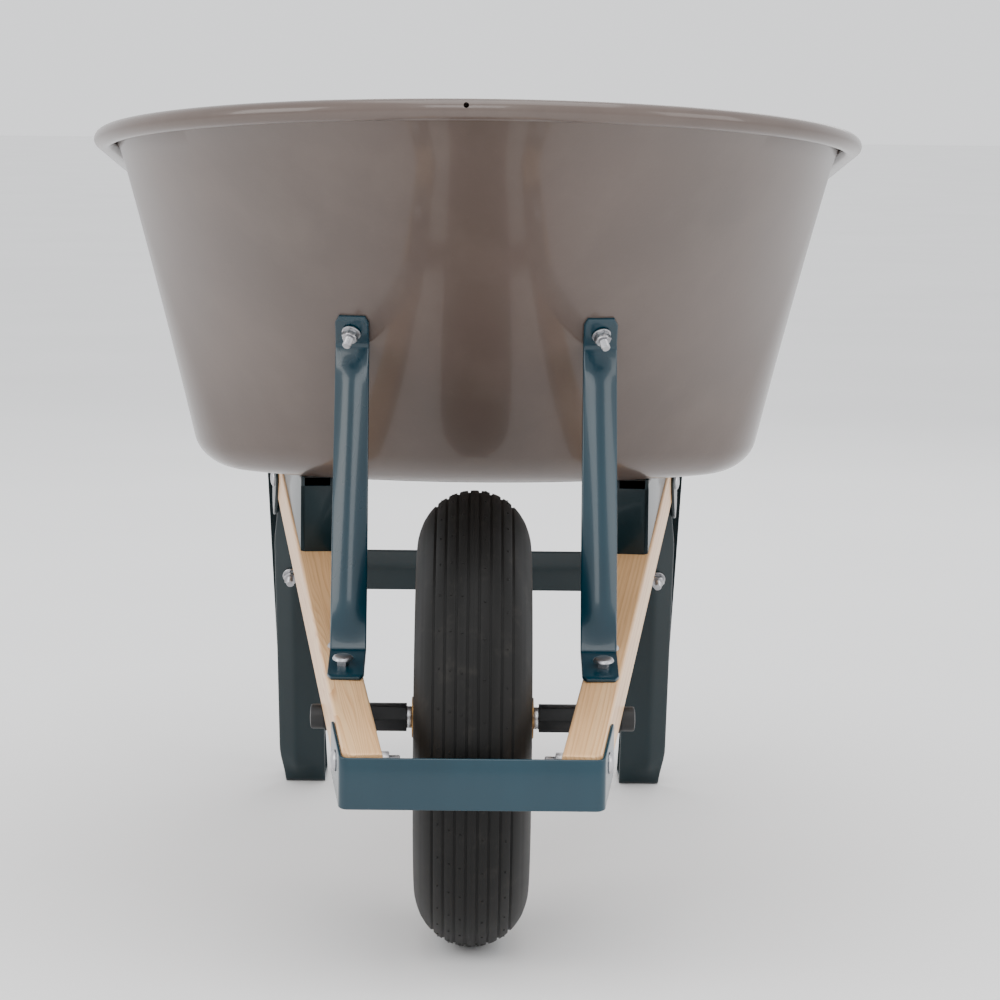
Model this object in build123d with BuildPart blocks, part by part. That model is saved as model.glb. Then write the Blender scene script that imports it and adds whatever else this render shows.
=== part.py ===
from build123d import *
import os
from math import atan2, cos, pi, radians, sin, sqrt, tan

# A steel-tray wheelbarrow on two wooden handles, with one pneumatic wheel.
# X runs across, along the axle, with the right-hand side at +X. The nose points to -Y and the
# grips to +Y. Z is up from the ground, which the tyre and both feet stand on.
# Every length is in millimetres and every angle in degrees.

# ---- driving dimensions -------------------------------------------------------------------------

# wheel
tyre_radius = 200.0
tyre_width = 100.0
tyre_section_height = 104.0
tread_thickness = 9.0
sidewall_thickness = 5.5
rib_count = 9
rib_pitch = 9.5
groove_width = 2.0
groove_depth = 1.8
tube_thickness = 2.0
tube_side_room = 6.0
bead_seat_radius = 101.5
rim_flange_radius = 113.0
rim_half_width = 42.0
rim_sheet = 2.2
rim_well_radius = 88.0
rim_web_inner_radius = 56.0
rim_bolt_circle = 74.0
rim_bolt_count = 4
rim_bolt_turn = 0.7
disc_dish = 22.0
hub_radius = 16.0
hub_half_length = 50.0
bush_flange_radius = 18.0
bush_flange_thickness = 3.4
bush_length = 24.0
bush_wall = 3.0
axle_radius = 7.9
valve_x = 13.0
valve_radius = 4.0
valve_length = 38.0
valve_tip_length = 6.0
valve_cap_end = 2.0
grease_hole_radius = 2.0
grease_hexagon = 7.0

# handles
handle_length = 1524.0
handle_width = 33.0
handle_depth = 42.0
handle_rise = 11.7
handle_splay = 7.2
handle_nose_half_width = 105.7
handle_nose_top = 209.0
handle_nose_reach = 225.0
handle_edge_radius = 2.5
handle_nose_bevel = 6.0
grip_length = 150.0
grip_radius = 16.0
grip_neck_radius = 13.5
grip_swell = 45.0
grip_shoulder = 6.0

# wheel guard
guard_sheet = 3.0
guard_height = 43.0
guard_corner_radius = 9.0
guard_flange_length = 78.0
guard_drop = 2.0
guard_bolt_y = -195.0
guard_bolt_drop = 18.0

# axle blocks
block_flats = 23.0
block_inner = 58.0
block_outer = 130.0
block_pad_length = 96.0
block_pad_thickness = 12.0
block_pad_inset = 7.0
block_bolt_front = 23.0
block_bolt_back = 28.0

# tray
tray_sheet = 1.5
rim_half_span = 347.0
rim_nose_y = -166.0
rim_shoulder_y = 150.0
rim_tail_y = 800.0
rim_tail_radius = 150.0
rim_corner_radius = 150.0
rim_nose_top = 742.0
rim_pitch = 6.0
rim_bead_radius = 9.0
rim_overhang = 19.0
floor_half_span = 264.0
floor_nose_y = 205.0
floor_shoulder_y = 335.0
floor_tail_y = 680.0
floor_tail_radius = 90.0
floor_corner_radius = 80.0
floor_nose_height = 380.6
floor_pitch = 2.3
foot_inset = 34.0
foot_height = 32.0
foot_steps = 5
drain_hole_radius = 2.3
drain_hole_x = -10.0

# front braces
brace_half_span = 110.0
brace_width = 32.0
brace_sheet = 3.0
brace_ridge = 5.0
brace_foot_front = 27.0
brace_foot_back = 40.0
brace_top_height = 536.0
brace_tab_length = 36.0
brace_bend_radius = 4.0
brace_ridge_share = 0.76
brace_foot_gap = 1.0

# risers
riser_front_y = 266.0
riser_tail_y = 668.0
riser_sheet = 2.5
riser_slot = 9.0

# legs
leg_sheet = 3.0
leg_width = 49.0
leg_inner = 160.0
leg_ridge_offset = 30.0
leg_ridge_height = 9.0
foot_front_y = 711.0
foot_back_y = 778.0
leg_front_top_y = 550.0
leg_back_top_y = 868.0
ear_width = 40.0
ear_overlap = 45.0
foot_taper_height = 42.0
foot_taper = 6.0

# cross brace between the legs
cross_height = 48.0
cross_half_span = 201.0
cross_level = 246.0
cross_ridge = 8.0
cross_end_length = 50.0

# fasteners
bolt_radius = 4.0
bolt_hole_clearance = 0.3
head_radius = 9.2
head_height = 4.2
head_rim = 0.9
neck_length = 4.5
nut_flats = 13.0
nut_height = 6.6
washer_radius = 8.6
washer_thickness = 1.6
thread_tail = 9.0

# fits
running_fit = 0.05
seat_gap = 0.05
soft_gap = 0.3

# ---- derived places -----------------------------------------------------------------------------

axle_height = tyre_radius
rise = radians(handle_rise)
splay = radians(handle_splay)
rail_along = Vector(sin(splay) * cos(rise), cos(splay) * cos(rise), sin(rise))
rail_out = Vector(cos(splay), -sin(splay), 0)
rail_up = rail_out.cross(rail_along)

# The origin lies midway between the guard's nose and the grips' ends, so the axle's place follows.
grip_end = (
    Vector(handle_nose_half_width, -handle_nose_reach, handle_nose_top)
    + rail_along * (handle_length - grip_radius)
    - rail_out * (handle_width / 2)
    - rail_up * (handle_depth / 2)
)
rear_reach = grip_end.Y + grip_radius
guard_slope = atan2(rail_along.Z, rail_along.Y)
guard_top = handle_nose_top - guard_drop
guard_nose_reach = handle_nose_reach + guard_sheet + seat_gap
axle_y = (guard_nose_reach - rear_reach) / 2
axle_centre = Vector(0, axle_y, axle_height)

# The right handle's corner line, from which everything on the handles is placed.
handle_nose = Vector(handle_nose_half_width, axle_y - handle_nose_reach, handle_nose_top)
handle_side = Plane(origin=handle_nose, x_dir=rail_along, z_dir=rail_out)
handle_section = Plane(origin=handle_nose, x_dir=-rail_out, z_dir=rail_along)
handle_underside = Plane(
    origin=handle_nose - rail_up * handle_depth, x_dir=rail_along, z_dir=-rail_up
)


def along_handle(y):
    """Distance down the handle of a place y behind the axle."""
    return (y + handle_nose_reach) / rail_along.Y


def handle_point(y, inward, up=0.0):
    """Point y behind the axle, so far inward of the outer face and above the top face."""
    return handle_nose + rail_along * along_handle(y) - rail_out * inward + rail_up * up


def side_plane(x):
    """Side elevation at x: its first axis runs back from the axle and its second runs up."""
    return Plane(origin=(x, axle_y, 0), x_dir=(0, 1, 0), z_dir=(1, 0, 0))


def floor_z(y):
    """Height of the tray's underside at y behind the axle."""
    return floor_nose_height + (y - floor_nose_y) * tan(radians(floor_pitch))


tray_depth = rim_nose_top - floor_nose_height
axle_axis = Axis(axle_centre, (1, 0, 0))
wheel_half = Plane(origin=axle_centre, x_dir=(1, 0, 0), z_dir=(0, -1, 0))
section_axis_radius = tyre_radius - tyre_section_height / 2

os.makedirs("parts", exist_ok=True)


def polar_plane(angle, x):
    """Plane at x on the axle line, facing along it, with its first axis turned by angle."""
    return Plane(axle_centre + Vector(x, 0, 0), x_dir=(0, cos(angle), sin(angle)), z_dir=(1, 0, 0))


# ---- fasteners ----------------------------------------------------------------------------------

hole_radius = bolt_radius + bolt_hole_clearance
nut_inset = bolt_radius + seat_gap
washer_gap = seat_gap


def carriage_bolt(grip, proud_neck=False):
    """Domed bolt with its head on z = 0 and its shank down -Z through a grip of material.

    Where the head stands proud, its square neck shows under it.
    """
    length = grip + washer_thickness + nut_height + thread_tail
    with BuildPart() as bolt:
        with BuildSketch(Plane.XY):
            Circle(head_radius)
        extrude(amount=head_height)
        fillet(bolt.faces().sort_by(Axis.Z)[-1].edges(), head_height - head_rim)
        with BuildSketch(Plane.XY):
            Circle(bolt_radius)
        extrude(amount=-length)
        chamfer(bolt.faces().sort_by(Axis.Z)[0].edges(), 0.7)
        if proud_neck:
            with BuildSketch(Plane.XY):
                Rectangle(2 * bolt_radius, 2 * bolt_radius)
            extrude(amount=-neck_length)
    return bolt.part


def hex_bolt(grip):
    """Hexagon-headed bolt with its head on z = 0 and its shank down -Z."""
    length = grip + washer_thickness + nut_height + 3
    with BuildPart() as bolt:
        with BuildSketch(Plane.XY):
            RegularPolygon(nut_flats / 2, 6, major_radius=False)
        extrude(amount=5.3)
        with BuildSketch(Plane.XY):
            Circle(bolt_radius)
        extrude(amount=-length)
    return bolt.part


def nut_and_washer(grip, tilt_gap=0.0):
    """Washer and hexagon nut below a grip of material, open round the bolt."""
    start = -grip - tilt_gap - washer_gap
    with BuildPart() as nut:
        with BuildSketch(Plane.XY.offset(start)):
            Circle(washer_radius)
            Circle(nut_inset, mode=Mode.SUBTRACT)
        extrude(amount=-washer_thickness)
        with BuildSketch(Plane.XY.offset(start - washer_thickness)):
            RegularPolygon(nut_flats / 2, 6, major_radius=False)
            Circle(nut_inset, mode=Mode.SUBTRACT)
        extrude(amount=-nut_height)
    return nut.part


def mirrored(place):
    """The place on the left that mirrors one on the right, turned so its Z axis mirrors too."""
    return Plane(
        origin=(-place.origin.X, place.origin.Y, place.origin.Z),
        x_dir=(-place.x_dir.X, place.x_dir.Y, place.x_dir.Z),
        z_dir=(-place.z_dir.X, place.z_dir.Y, place.z_dir.Z),
    )


def both_sides(places):
    return [side for place in places for side in (place, mirrored(place))]


# Seats of the bolts on the right-hand side: each plane's Z is the bolt's axis, out of its head.
axle_block_grip = handle_depth + block_pad_thickness
handle_middle = handle_width / 2
# The handle slopes, so a bolt square to it starts this far ahead of where it leaves the block.
bolt_lead = axle_block_grip * sin(rise) * cos(splay) + handle_middle * sin(splay)
brace_bolt_y = -bolt_lead - block_bolt_front
front_block_seat = Plane(
    origin=handle_point(brace_bolt_y, handle_middle, brace_sheet + brace_foot_gap + neck_length),
    x_dir=rail_along,
    z_dir=rail_up,
)
rear_block_seat = Plane(
    origin=handle_point(block_bolt_back - bolt_lead, handle_middle, seat_gap),
    x_dir=rail_along,
    z_dir=rail_up,
)
guard_seat = Plane(
    origin=handle_point(guard_bolt_y, -guard_sheet - 2 * seat_gap, -guard_bolt_drop),
    x_dir=rail_along,
    z_dir=rail_out,
)
leg_front_seat = Plane(
    origin=handle_point(leg_front_top_y, -leg_sheet - 2 * seat_gap, -handle_depth / 2),
    x_dir=rail_along,
    z_dir=rail_out,
)
leg_back_seat = Plane(
    origin=handle_point(leg_back_top_y, -leg_sheet - 2 * seat_gap, -handle_depth / 2),
    x_dir=rail_along,
    z_dir=rail_out,
)
floor_normal = Vector(0, -sin(radians(floor_pitch)), cos(radians(floor_pitch)))
tray_bolt_ys = (300.0, 585.0)


def tray_seat(y):
    """Seat of a tray bolt: inside the tray, over the middle of the handle."""
    over = handle_point(y, handle_middle)
    inside = (tray_sheet + seat_gap) / cos(radians(floor_pitch))
    return Plane(
        origin=Vector(over.X, over.Y, floor_z(over.Y - axle_y) + inside),
        x_dir=(1, 0, 0),
        z_dir=floor_normal,
    )


tray_seats = [tray_seat(y) for y in tray_bolt_ys]
handle_bolt_places = [
    front_block_seat,
    rear_block_seat,
    guard_seat,
    leg_front_seat,
    leg_back_seat,
    *tray_seats,
]

# ---- wheel --------------------------------------------------------------------------------------

half_width = tyre_width / 2
half_section = tyre_section_height / 2
inner_half_width = half_width - sidewall_thickness
inner_half_section = half_section - tread_thickness
bead_outer = rim_half_width - rim_sheet - soft_gap
bead_inner = bead_outer - 7.0
bead_toe_radius = bead_seat_radius + soft_gap

with BuildPart() as tyre:
    with BuildSketch(wheel_half):
        with BuildLine():
            EllipticalCenterArc(
                (0, section_axis_radius), half_width, half_section, start_angle=0, arc_size=90
            )
            Spline(
                (half_width, section_axis_radius),
                (half_width - 3.5, section_axis_radius - 24),
                (bead_outer, rim_flange_radius),
                tangents=((0, -1), (-0.5, -1)),
            )
            Polyline(
                (bead_outer, rim_flange_radius),
                (bead_outer, bead_toe_radius),
                (bead_inner, bead_toe_radius),
                (bead_inner, bead_toe_radius + 8),
            )
            Spline(
                (bead_inner, bead_toe_radius + 8),
                (inner_half_width - 3, section_axis_radius - 20),
                (inner_half_width, section_axis_radius),
                tangents=((0.4, 1), (0, 1)),
            )
            EllipticalCenterArc(
                (0, section_axis_radius), inner_half_width, inner_half_section, start_angle=0, arc_size=90
            )
            mirror(about=Plane.YZ)
        make_face()
    revolve(axis=axle_axis)
    with BuildSketch(wheel_half):
        for groove in range(rib_count - 1):
            groove_x = (groove - (rib_count - 2) / 2) * rib_pitch
            groove_top = section_axis_radius + half_section * sqrt(1 - (groove_x / half_width) ** 2)
            with Locations((groove_x, groove_top)):
                Rectangle(groove_width, 2 * groove_depth)
    revolve(axis=axle_axis, mode=Mode.SUBTRACT)
tyre.part.label = "tyre"
export_step(tyre.part, "parts/tyre.step")

tube_half_width = inner_half_width - soft_gap - tube_side_room
tube_half_section = inner_half_section - soft_gap
with BuildPart() as inner_tube:
    with BuildSketch(wheel_half):
        with Locations((0, section_axis_radius)):
            Ellipse(tube_half_width, tube_half_section)
            Ellipse(
                tube_half_width - tube_thickness, tube_half_section - tube_thickness, mode=Mode.SUBTRACT
            )
    revolve(axis=axle_axis)
inner_tube.part.label = "inner_tube"
export_step(inner_tube.part, "parts/inner_tube.step")


def rim_half():
    """The pressed rim half on the right: dished disc, bolting web, well, bead seat and flange."""
    middle = rim_sheet / 2 + seat_gap
    with BuildPart() as half:
        with BuildSketch(wheel_half):
            with BuildLine():
                rim_line = FilletPolyline(
                    (middle + disc_dish, hub_radius + rim_sheet / 2 + seat_gap),
                    (middle, rim_web_inner_radius),
                    (middle, rim_well_radius),
                    (rim_half_width * 0.42, rim_well_radius + 3),
                    (rim_half_width * 0.62, bead_seat_radius - rim_sheet / 2 - 0.5),
                    (rim_half_width - rim_sheet / 2, bead_seat_radius - rim_sheet / 2),
                    (rim_half_width - rim_sheet / 2, rim_flange_radius - 5),
                    (rim_half_width + 3, rim_flange_radius),
                    radius=2.0,
                )
            trace(rim_line, line_width=rim_sheet)
        revolve(axis=axle_axis)
        for step in range(rim_bolt_count):
            turned = polar_plane(2 * step * pi / rim_bolt_count + rim_bolt_turn, 0)
            place = Plane(turned.origin + turned.x_dir * rim_bolt_circle, z_dir=(1, 0, 0))
            with Locations(place.location):
                Hole(hole_radius)
    return half.part


right_rim_blank = rim_half()
with BuildPart() as rim_right:
    add(right_rim_blank)
    with BuildSketch(Plane(origin=axle_centre + Vector(valve_x, 0, rim_well_radius - 12), z_dir=(0, 0, 1))):
        Circle(valve_radius + soft_gap)
    extrude(amount=30, mode=Mode.SUBTRACT)
rim_right.part.label = "rim_right"
export_step(rim_right.part, "parts/rim_right.step")

with BuildPart() as rim_left:
    mirror(right_rim_blank, about=Plane.YZ)
rim_left.part.label = "rim_left"
export_step(rim_left.part, "parts/rim_left.step")

tube_foot = section_axis_radius - tube_half_section * sqrt(1 - (valve_x / tube_half_width) ** 2)
valve_top = tube_foot - 1.5
valve_tip_radius = valve_radius * 0.6


def valve_plane(radius):
    """Plane across the valve at a distance from the axle, facing in towards the axle."""
    return Plane(origin=axle_centre + Vector(valve_x, 0, radius), z_dir=(0, 0, -1))


with BuildPart() as valve_stem:
    with BuildSketch(valve_plane(valve_top)):
        Circle(valve_radius)
    extrude(amount=valve_length)
    with BuildSketch(valve_plane(valve_top - valve_length)):
        Circle(valve_tip_radius)
    extrude(amount=valve_tip_length)
valve_stem.part.label = "valve_stem"
export_step(valve_stem.part, "parts/valve_stem.step")

with BuildPart() as valve_cap:
    with BuildSketch(valve_plane(valve_top - valve_length - seat_gap)):
        Circle(valve_radius - 0.2)
        Circle(valve_tip_radius + seat_gap, mode=Mode.SUBTRACT)
    extrude(amount=valve_tip_length + seat_gap)
    with BuildSketch(valve_plane(valve_top - valve_length - valve_tip_length - 2 * seat_gap)):
        Circle(valve_radius - 0.2)
    extrude(amount=valve_cap_end)
valve_cap.part.label = "valve_cap"
export_step(valve_cap.part, "parts/valve_cap.step")

grease_hole = Plane(origin=axle_centre + Vector(hub_half_length * 0.72, 0, 0), z_dir=(0, 0, 1))
with BuildPart() as hub:
    with BuildSketch(Plane(origin=axle_centre, z_dir=(1, 0, 0))):
        Circle(hub_radius)
        Circle(axle_radius + running_fit + bush_wall + seat_gap, mode=Mode.SUBTRACT)
    extrude(amount=hub_half_length, both=True)
    with Locations(grease_hole.location):
        Hole(grease_hole_radius)
hub.part.label = "hub"
export_step(hub.part, "parts/hub.step")

fitting_seat = grease_hole.offset(hub_radius)
with BuildPart() as grease_fitting:
    with BuildSketch(fitting_seat.offset(-3)):
        Circle(grease_hole_radius - seat_gap)
    extrude(amount=3 + 2 * seat_gap)
    with BuildSketch(fitting_seat.offset(seat_gap)):
        RegularPolygon(grease_hexagon / 2, 6, major_radius=False)
    extrude(amount=3.5)
    with BuildSketch(fitting_seat.offset(3.5)):
        Circle(grease_hole_radius)
    extrude(amount=5)
grease_fitting.part.label = "grease_fitting"
export_step(grease_fitting.part, "parts/grease_fitting.step")

bore_radius = axle_radius + running_fit
with BuildPart() as bush_right:
    with BuildSketch(polar_plane(0, hub_half_length - bush_length)):
        Circle(bore_radius + bush_wall)
        Circle(bore_radius, mode=Mode.SUBTRACT)
    extrude(amount=bush_length + seat_gap)
    with BuildSketch(Plane(origin=axle_centre + Vector(hub_half_length + seat_gap, 0, 0), z_dir=(1, 0, 0))):
        Circle(bush_flange_radius)
        Circle(bore_radius, mode=Mode.SUBTRACT)
    extrude(amount=bush_flange_thickness)
bush_right.part.label = "bush_right"
export_step(bush_right.part, "parts/bush_right.step")

with BuildPart() as bush_left:
    mirror(bush_right.part, about=Plane.YZ)
bush_left.part.label = "bush_left"
export_step(bush_left.part, "parts/bush_left.step")

rim_bolt_grip = 2 * (rim_sheet + seat_gap)
rim_bolt_seats = []
for step in range(rim_bolt_count):
    turned = polar_plane(2 * step * pi / rim_bolt_count + rim_bolt_turn, rim_bolt_grip / 2 + seat_gap)
    rim_bolt_seats.append(
        Plane(turned.origin + turned.x_dir * rim_bolt_circle, x_dir=turned.x_dir, z_dir=(1, 0, 0))
    )

with BuildPart() as rim_bolts:
    with Locations(*[seat.location for seat in rim_bolt_seats]):
        add(hex_bolt(rim_bolt_grip))
rim_bolts.part.label = "rim_bolts"
export_step(rim_bolts.part, "parts/rim_bolts.step")

with BuildPart() as rim_nuts:
    with Locations(*[seat.location for seat in rim_bolt_seats]):
        add(nut_and_washer(rim_bolt_grip + seat_gap))
rim_nuts.part.label = "rim_nuts"
export_step(rim_nuts.part, "parts/rim_nuts.step")

# ---- axle and what holds it ---------------------------------------------------------------------

end_washer_thickness = 2.0
pin_radius = 1.6
pin_place = block_outer + end_washer_thickness + 2 * seat_gap + 2 * pin_radius + 0.1
axle_half_length = pin_place + 6.0
bush_face = hub_half_length + seat_gap + bush_flange_thickness

with BuildPart() as axle:
    with BuildSketch(Plane(origin=axle_centre, z_dir=(1, 0, 0))):
        Circle(axle_radius)
    extrude(amount=axle_half_length, both=True)
    chamfer(axle.edges().filter_by(GeomType.CIRCLE), 1.2)
    for side in (-1, 1):
        with Locations(Plane(origin=axle_centre + Vector(side * pin_place, 0, 0), z_dir=(0, 1, 0)).location):
            Hole(pin_radius + seat_gap)
axle.part.label = "axle"
export_step(axle.part, "parts/axle.step")

with BuildPart() as axle_spacers:
    for side in (-1, 1):
        spacer_start = axle_centre + Vector(side * (bush_face + soft_gap), 0, 0)
        with BuildSketch(Plane(origin=spacer_start, z_dir=(side, 0, 0))):
            Circle(axle_radius + 1.8)
            Circle(axle_radius + seat_gap, mode=Mode.SUBTRACT)
        extrude(amount=block_inner - bush_face - soft_gap - seat_gap)
axle_spacers.part.label = "axle_spacers"
export_step(axle_spacers.part, "parts/axle_spacers.step")

with BuildPart() as axle_end_washers:
    for side in (-1, 1):
        washer_start = axle_centre + Vector(side * (block_outer + seat_gap), 0, 0)
        with BuildSketch(Plane(origin=washer_start, z_dir=(side, 0, 0))):
            Circle(block_flats / 2)
            Circle(axle_radius + seat_gap, mode=Mode.SUBTRACT)
        extrude(amount=end_washer_thickness)
axle_end_washers.part.label = "axle_end_washers"
export_step(axle_end_washers.part, "parts/axle_end_washers.step")

with BuildPart() as split_pins:
    for side in (-1, 1):
        pin_start = axle_centre + Vector(side * pin_place, -axle_radius - 5, 0)
        with BuildSketch(Plane(origin=pin_start, z_dir=(0, 1, 0))):
            Circle(pin_radius)
        extrude(amount=2 * axle_radius + 12)
        with Locations(Location(pin_start)):
            Sphere(pin_radius * 2)
split_pins.part.label = "split_pins"
export_step(split_pins.part, "parts/split_pins.step")

# ---- handles ------------------------------------------------------------------------------------

bar_length = handle_length - grip_length
grip_axis_origin = handle_nose - rail_out * (handle_width / 2) - rail_up * (handle_depth / 2)
grip_section = Plane(origin=grip_axis_origin, x_dir=rail_along, z_dir=rail_out)
grip_axis = Axis(grip_axis_origin, rail_along)

with BuildPart() as right_handle:
    with BuildSketch(handle_section):
        with Locations((handle_width / 2, -handle_depth / 2)):
            Rectangle(handle_width, handle_depth)
    extrude(amount=bar_length)
    chamfer(right_handle.faces().sort_by(Axis(handle_nose, rail_along))[-1].edges(), grip_shoulder)
    nose_uprights = right_handle.edges().filter_by(Axis(handle_nose, rail_up))
    nose_uprights = nose_uprights.sort_by(Axis(handle_nose, rail_along))[:2]
    chamfer(nose_uprights.sort_by(Axis(handle_nose, rail_out))[-1], handle_nose_bevel)
    fillet(right_handle.edges().filter_by(Axis(handle_nose, rail_along)), handle_edge_radius)
    with BuildSketch(grip_section):
        with BuildLine():
            Line((bar_length - 4, 0), (bar_length - 4, grip_neck_radius))
            Spline(
                (bar_length - 4, grip_neck_radius),
                (bar_length + grip_swell, grip_radius),
                tangents=((1, 0), (1, 0)),
            )
            Line((bar_length + grip_swell, grip_radius), (handle_length - grip_radius, grip_radius))
            ThreePointArc(
                (handle_length - grip_radius, grip_radius),
                (handle_length - grip_radius * (1 - sin(radians(45))), grip_radius * cos(radians(45))),
                (handle_length, 0),
            )
            Line((handle_length, 0), (bar_length - 4, 0))
        make_face()
    revolve(axis=grip_axis)
    with Locations(*[place.location for place in handle_bolt_places]):
        Hole(hole_radius)
right_handle.part.label = "right_handle"
export_step(right_handle.part, "parts/right_handle.step")

with BuildPart() as left_handle:
    mirror(right_handle.part, about=Plane.YZ)
left_handle.part.label = "left_handle"
export_step(left_handle.part, "parts/left_handle.step")

# ---- wheel guard --------------------------------------------------------------------------------

guard_low = Plane(
    origin=(0, handle_nose.Y, guard_top - guard_height),
    x_dir=(1, 0, 0),
    z_dir=(0, -sin(guard_slope), cos(guard_slope)),
)
# The bent sheet is drawn this much too deep and then cut to its sloping edges.
guard_reach_up = guard_height + guard_flange_length
guard_half_width = handle_nose_half_width + seat_gap
guard_points = [
    (-guard_half_width - guard_flange_length * sin(splay), guard_flange_length * cos(splay)),
    (-guard_half_width, -seat_gap),
    (guard_half_width, -seat_gap),
    (guard_half_width + guard_flange_length * sin(splay), guard_flange_length * cos(splay)),
]
with BuildPart() as wheel_guard:
    with BuildSketch(Plane(origin=guard_low.origin - Vector(0, 0, guard_reach_up))):
        with BuildLine():
            FilletPolyline(*guard_points, radius=guard_corner_radius - guard_sheet)
            offset(amount=guard_sheet, side=Side.RIGHT)
        make_face()
    extrude(amount=3 * guard_reach_up)
    split(bisect_by=guard_low, keep=Keep.TOP)
    split(bisect_by=guard_low.offset(guard_height * cos(guard_slope)), keep=Keep.BOTTOM)
    with Locations(guard_seat.location, mirrored(guard_seat).location):
        Hole(hole_radius, depth=20)
wheel_guard.part.label = "wheel_guard"
export_step(wheel_guard.part, "parts/wheel_guard.step")

# ---- axle blocks --------------------------------------------------------------------------------

with BuildPart() as right_axle_block:
    with BuildSketch(polar_plane(0, block_inner)):
        RegularPolygon(block_flats / 2, 6, major_radius=False)
    extrude(amount=block_outer - block_inner)
    with BuildSketch(handle_underside.offset(seat_gap)):
        with Locations((along_handle(-bolt_lead), -(handle_width + block_pad_inset) / 2)):
            RectangleRounded(block_pad_length, handle_width - block_pad_inset, 4)
    extrude(amount=block_pad_thickness)
    with Locations(Location(axle_centre + Vector(block_inner, 0, 0), (0, 90, 0))):
        Hole(axle_radius + seat_gap)
    with Locations(front_block_seat.location, rear_block_seat.location):
        Hole(hole_radius)
    split(bisect_by=handle_underside.offset(seat_gap), keep=Keep.TOP)
right_axle_block.part.label = "right_axle_block"
export_step(right_axle_block.part, "parts/right_axle_block.step")

with BuildPart() as left_axle_block:
    mirror(right_axle_block.part, about=Plane.YZ)
left_axle_block.part.label = "left_axle_block"
export_step(left_axle_block.part, "parts/left_axle_block.step")

# ---- tray ---------------------------------------------------------------------------------------

rim_plane = Plane(
    origin=(0, axle_y + rim_nose_y, rim_nose_top),
    x_dir=(1, 0, 0),
    z_dir=(0, sin(radians(rim_pitch)), cos(radians(rim_pitch))),
)


def tray_outline(half_span, nose, shoulder, tail, corner_radius, tail_radius, inset):
    """Lines of the tray's plan: bowed nose, round corners, straight sides and square tail.

    Distances run back from the plane's own origin. Inset moves the whole outline inwards.
    """
    depth = shoulder - nose
    spare = half_span - corner_radius
    bow_radius = (spare**2 + depth**2 - corner_radius**2) / (2 * (depth - corner_radius))
    lean = atan2(depth - bow_radius, spare)
    bow = bow_radius - inset
    bow_centre = nose + bow_radius
    half = half_span - inset
    back = tail - inset
    corner = corner_radius - inset
    radius = tail_radius - inset
    joint = (bow * cos(lean), bow_centre + bow * sin(lean))
    bend = (spare + corner * cos(lean / 2), shoulder + corner * sin(lean / 2))
    turn = radius * (1 - cos(radians(45)))
    return [
        ThreePointArc((-joint[0], joint[1]), (0, nose + inset), joint),
        ThreePointArc(joint, bend, (half, shoulder)),
        Line((half, shoulder), (half, back - radius)),
        ThreePointArc((half, back - radius), (half - turn, back - turn), (half - radius, back)),
        Line((half - radius, back), (-half + radius, back)),
        ThreePointArc((-half + radius, back), (-half + turn, back - turn), (-half, back - radius)),
        Line((-half, back - radius), (-half, shoulder)),
        ThreePointArc((-half, shoulder), (-bend[0], bend[1]), (-joint[0], joint[1])),
    ]


rim_run = (rim_tail_y - rim_nose_y) / cos(radians(rim_pitch))
rim_shoulder = (rim_shoulder_y - rim_nose_y) / cos(radians(rim_pitch))
floor_run = (floor_tail_y - floor_nose_y) / cos(radians(floor_pitch))
floor_shoulder = (floor_shoulder_y - floor_nose_y) / cos(radians(floor_pitch))
rim_rise = Vector(0, axle_y + rim_nose_y, rim_nose_top)
floor_rise = Vector(0, axle_y + floor_nose_y, floor_nose_height)


def blend(low, high, share):
    return low + (high - low) * share


def tray_level(share, inset):
    """Sketch of the tray's outline at a share of the way up from the floor to the rim."""
    tilt = radians(blend(-floor_pitch, rim_pitch, share))
    level = Plane(
        origin=blend(floor_rise, rim_rise, share),
        x_dir=(1, 0, 0),
        z_dir=(0, sin(tilt), cos(tilt)),
    )
    with BuildSketch(level) as outline:
        with BuildLine():
            tray_outline(
                blend(floor_half_span, rim_half_span - rim_overhang, share),
                blend(0, rim_overhang, share),
                blend(floor_shoulder, rim_shoulder, share),
                blend(floor_run, rim_run - rim_overhang, share),
                blend(floor_corner_radius, rim_corner_radius - rim_overhang, share),
                blend(floor_tail_radius, rim_tail_radius - rim_overhang, share),
                inset,
            )
        make_face()
    return outline.sketch


def tray_body(inset, lift):
    """The tray's solid form: straight walls over a rounded foot, set in from its outer skin."""
    levels = []
    for step in range(foot_steps + 1):
        turn = radians(90 * step / foot_steps)
        height = foot_height * (1 - cos(turn)) + lift * cos(turn)
        levels.append(tray_level(height / tray_depth, inset + foot_inset * (1 - sin(turn))))
    levels.append(tray_level(1, inset))
    with BuildPart() as body:
        for level in levels:
            add(level)
        loft(ruled=True)
    return body.part


def rim_outline(inset):
    return tray_outline(
        rim_half_span, 0, rim_shoulder, rim_run, rim_corner_radius, rim_tail_radius, inset
    )


outer_body = tray_body(0, 0)

# The braces' upper bolts pass square through the front wall.
wall_ray = Axis((brace_half_span, axle_y + rim_nose_y - 100, brace_top_height), (0, 1, 0))
wall_point, wall_normal = outer_body.find_intersection_points(wall_ray)[0]
if wall_normal.Y > 0:
    wall_normal = -wall_normal
across_wall = Vector(0, 0, 1).cross(wall_normal).normalized()
brace_top_seat = Plane(
    origin=wall_point - wall_normal * (tray_sheet + 0.5),
    x_dir=across_wall,
    z_dir=-wall_normal,
)

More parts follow.
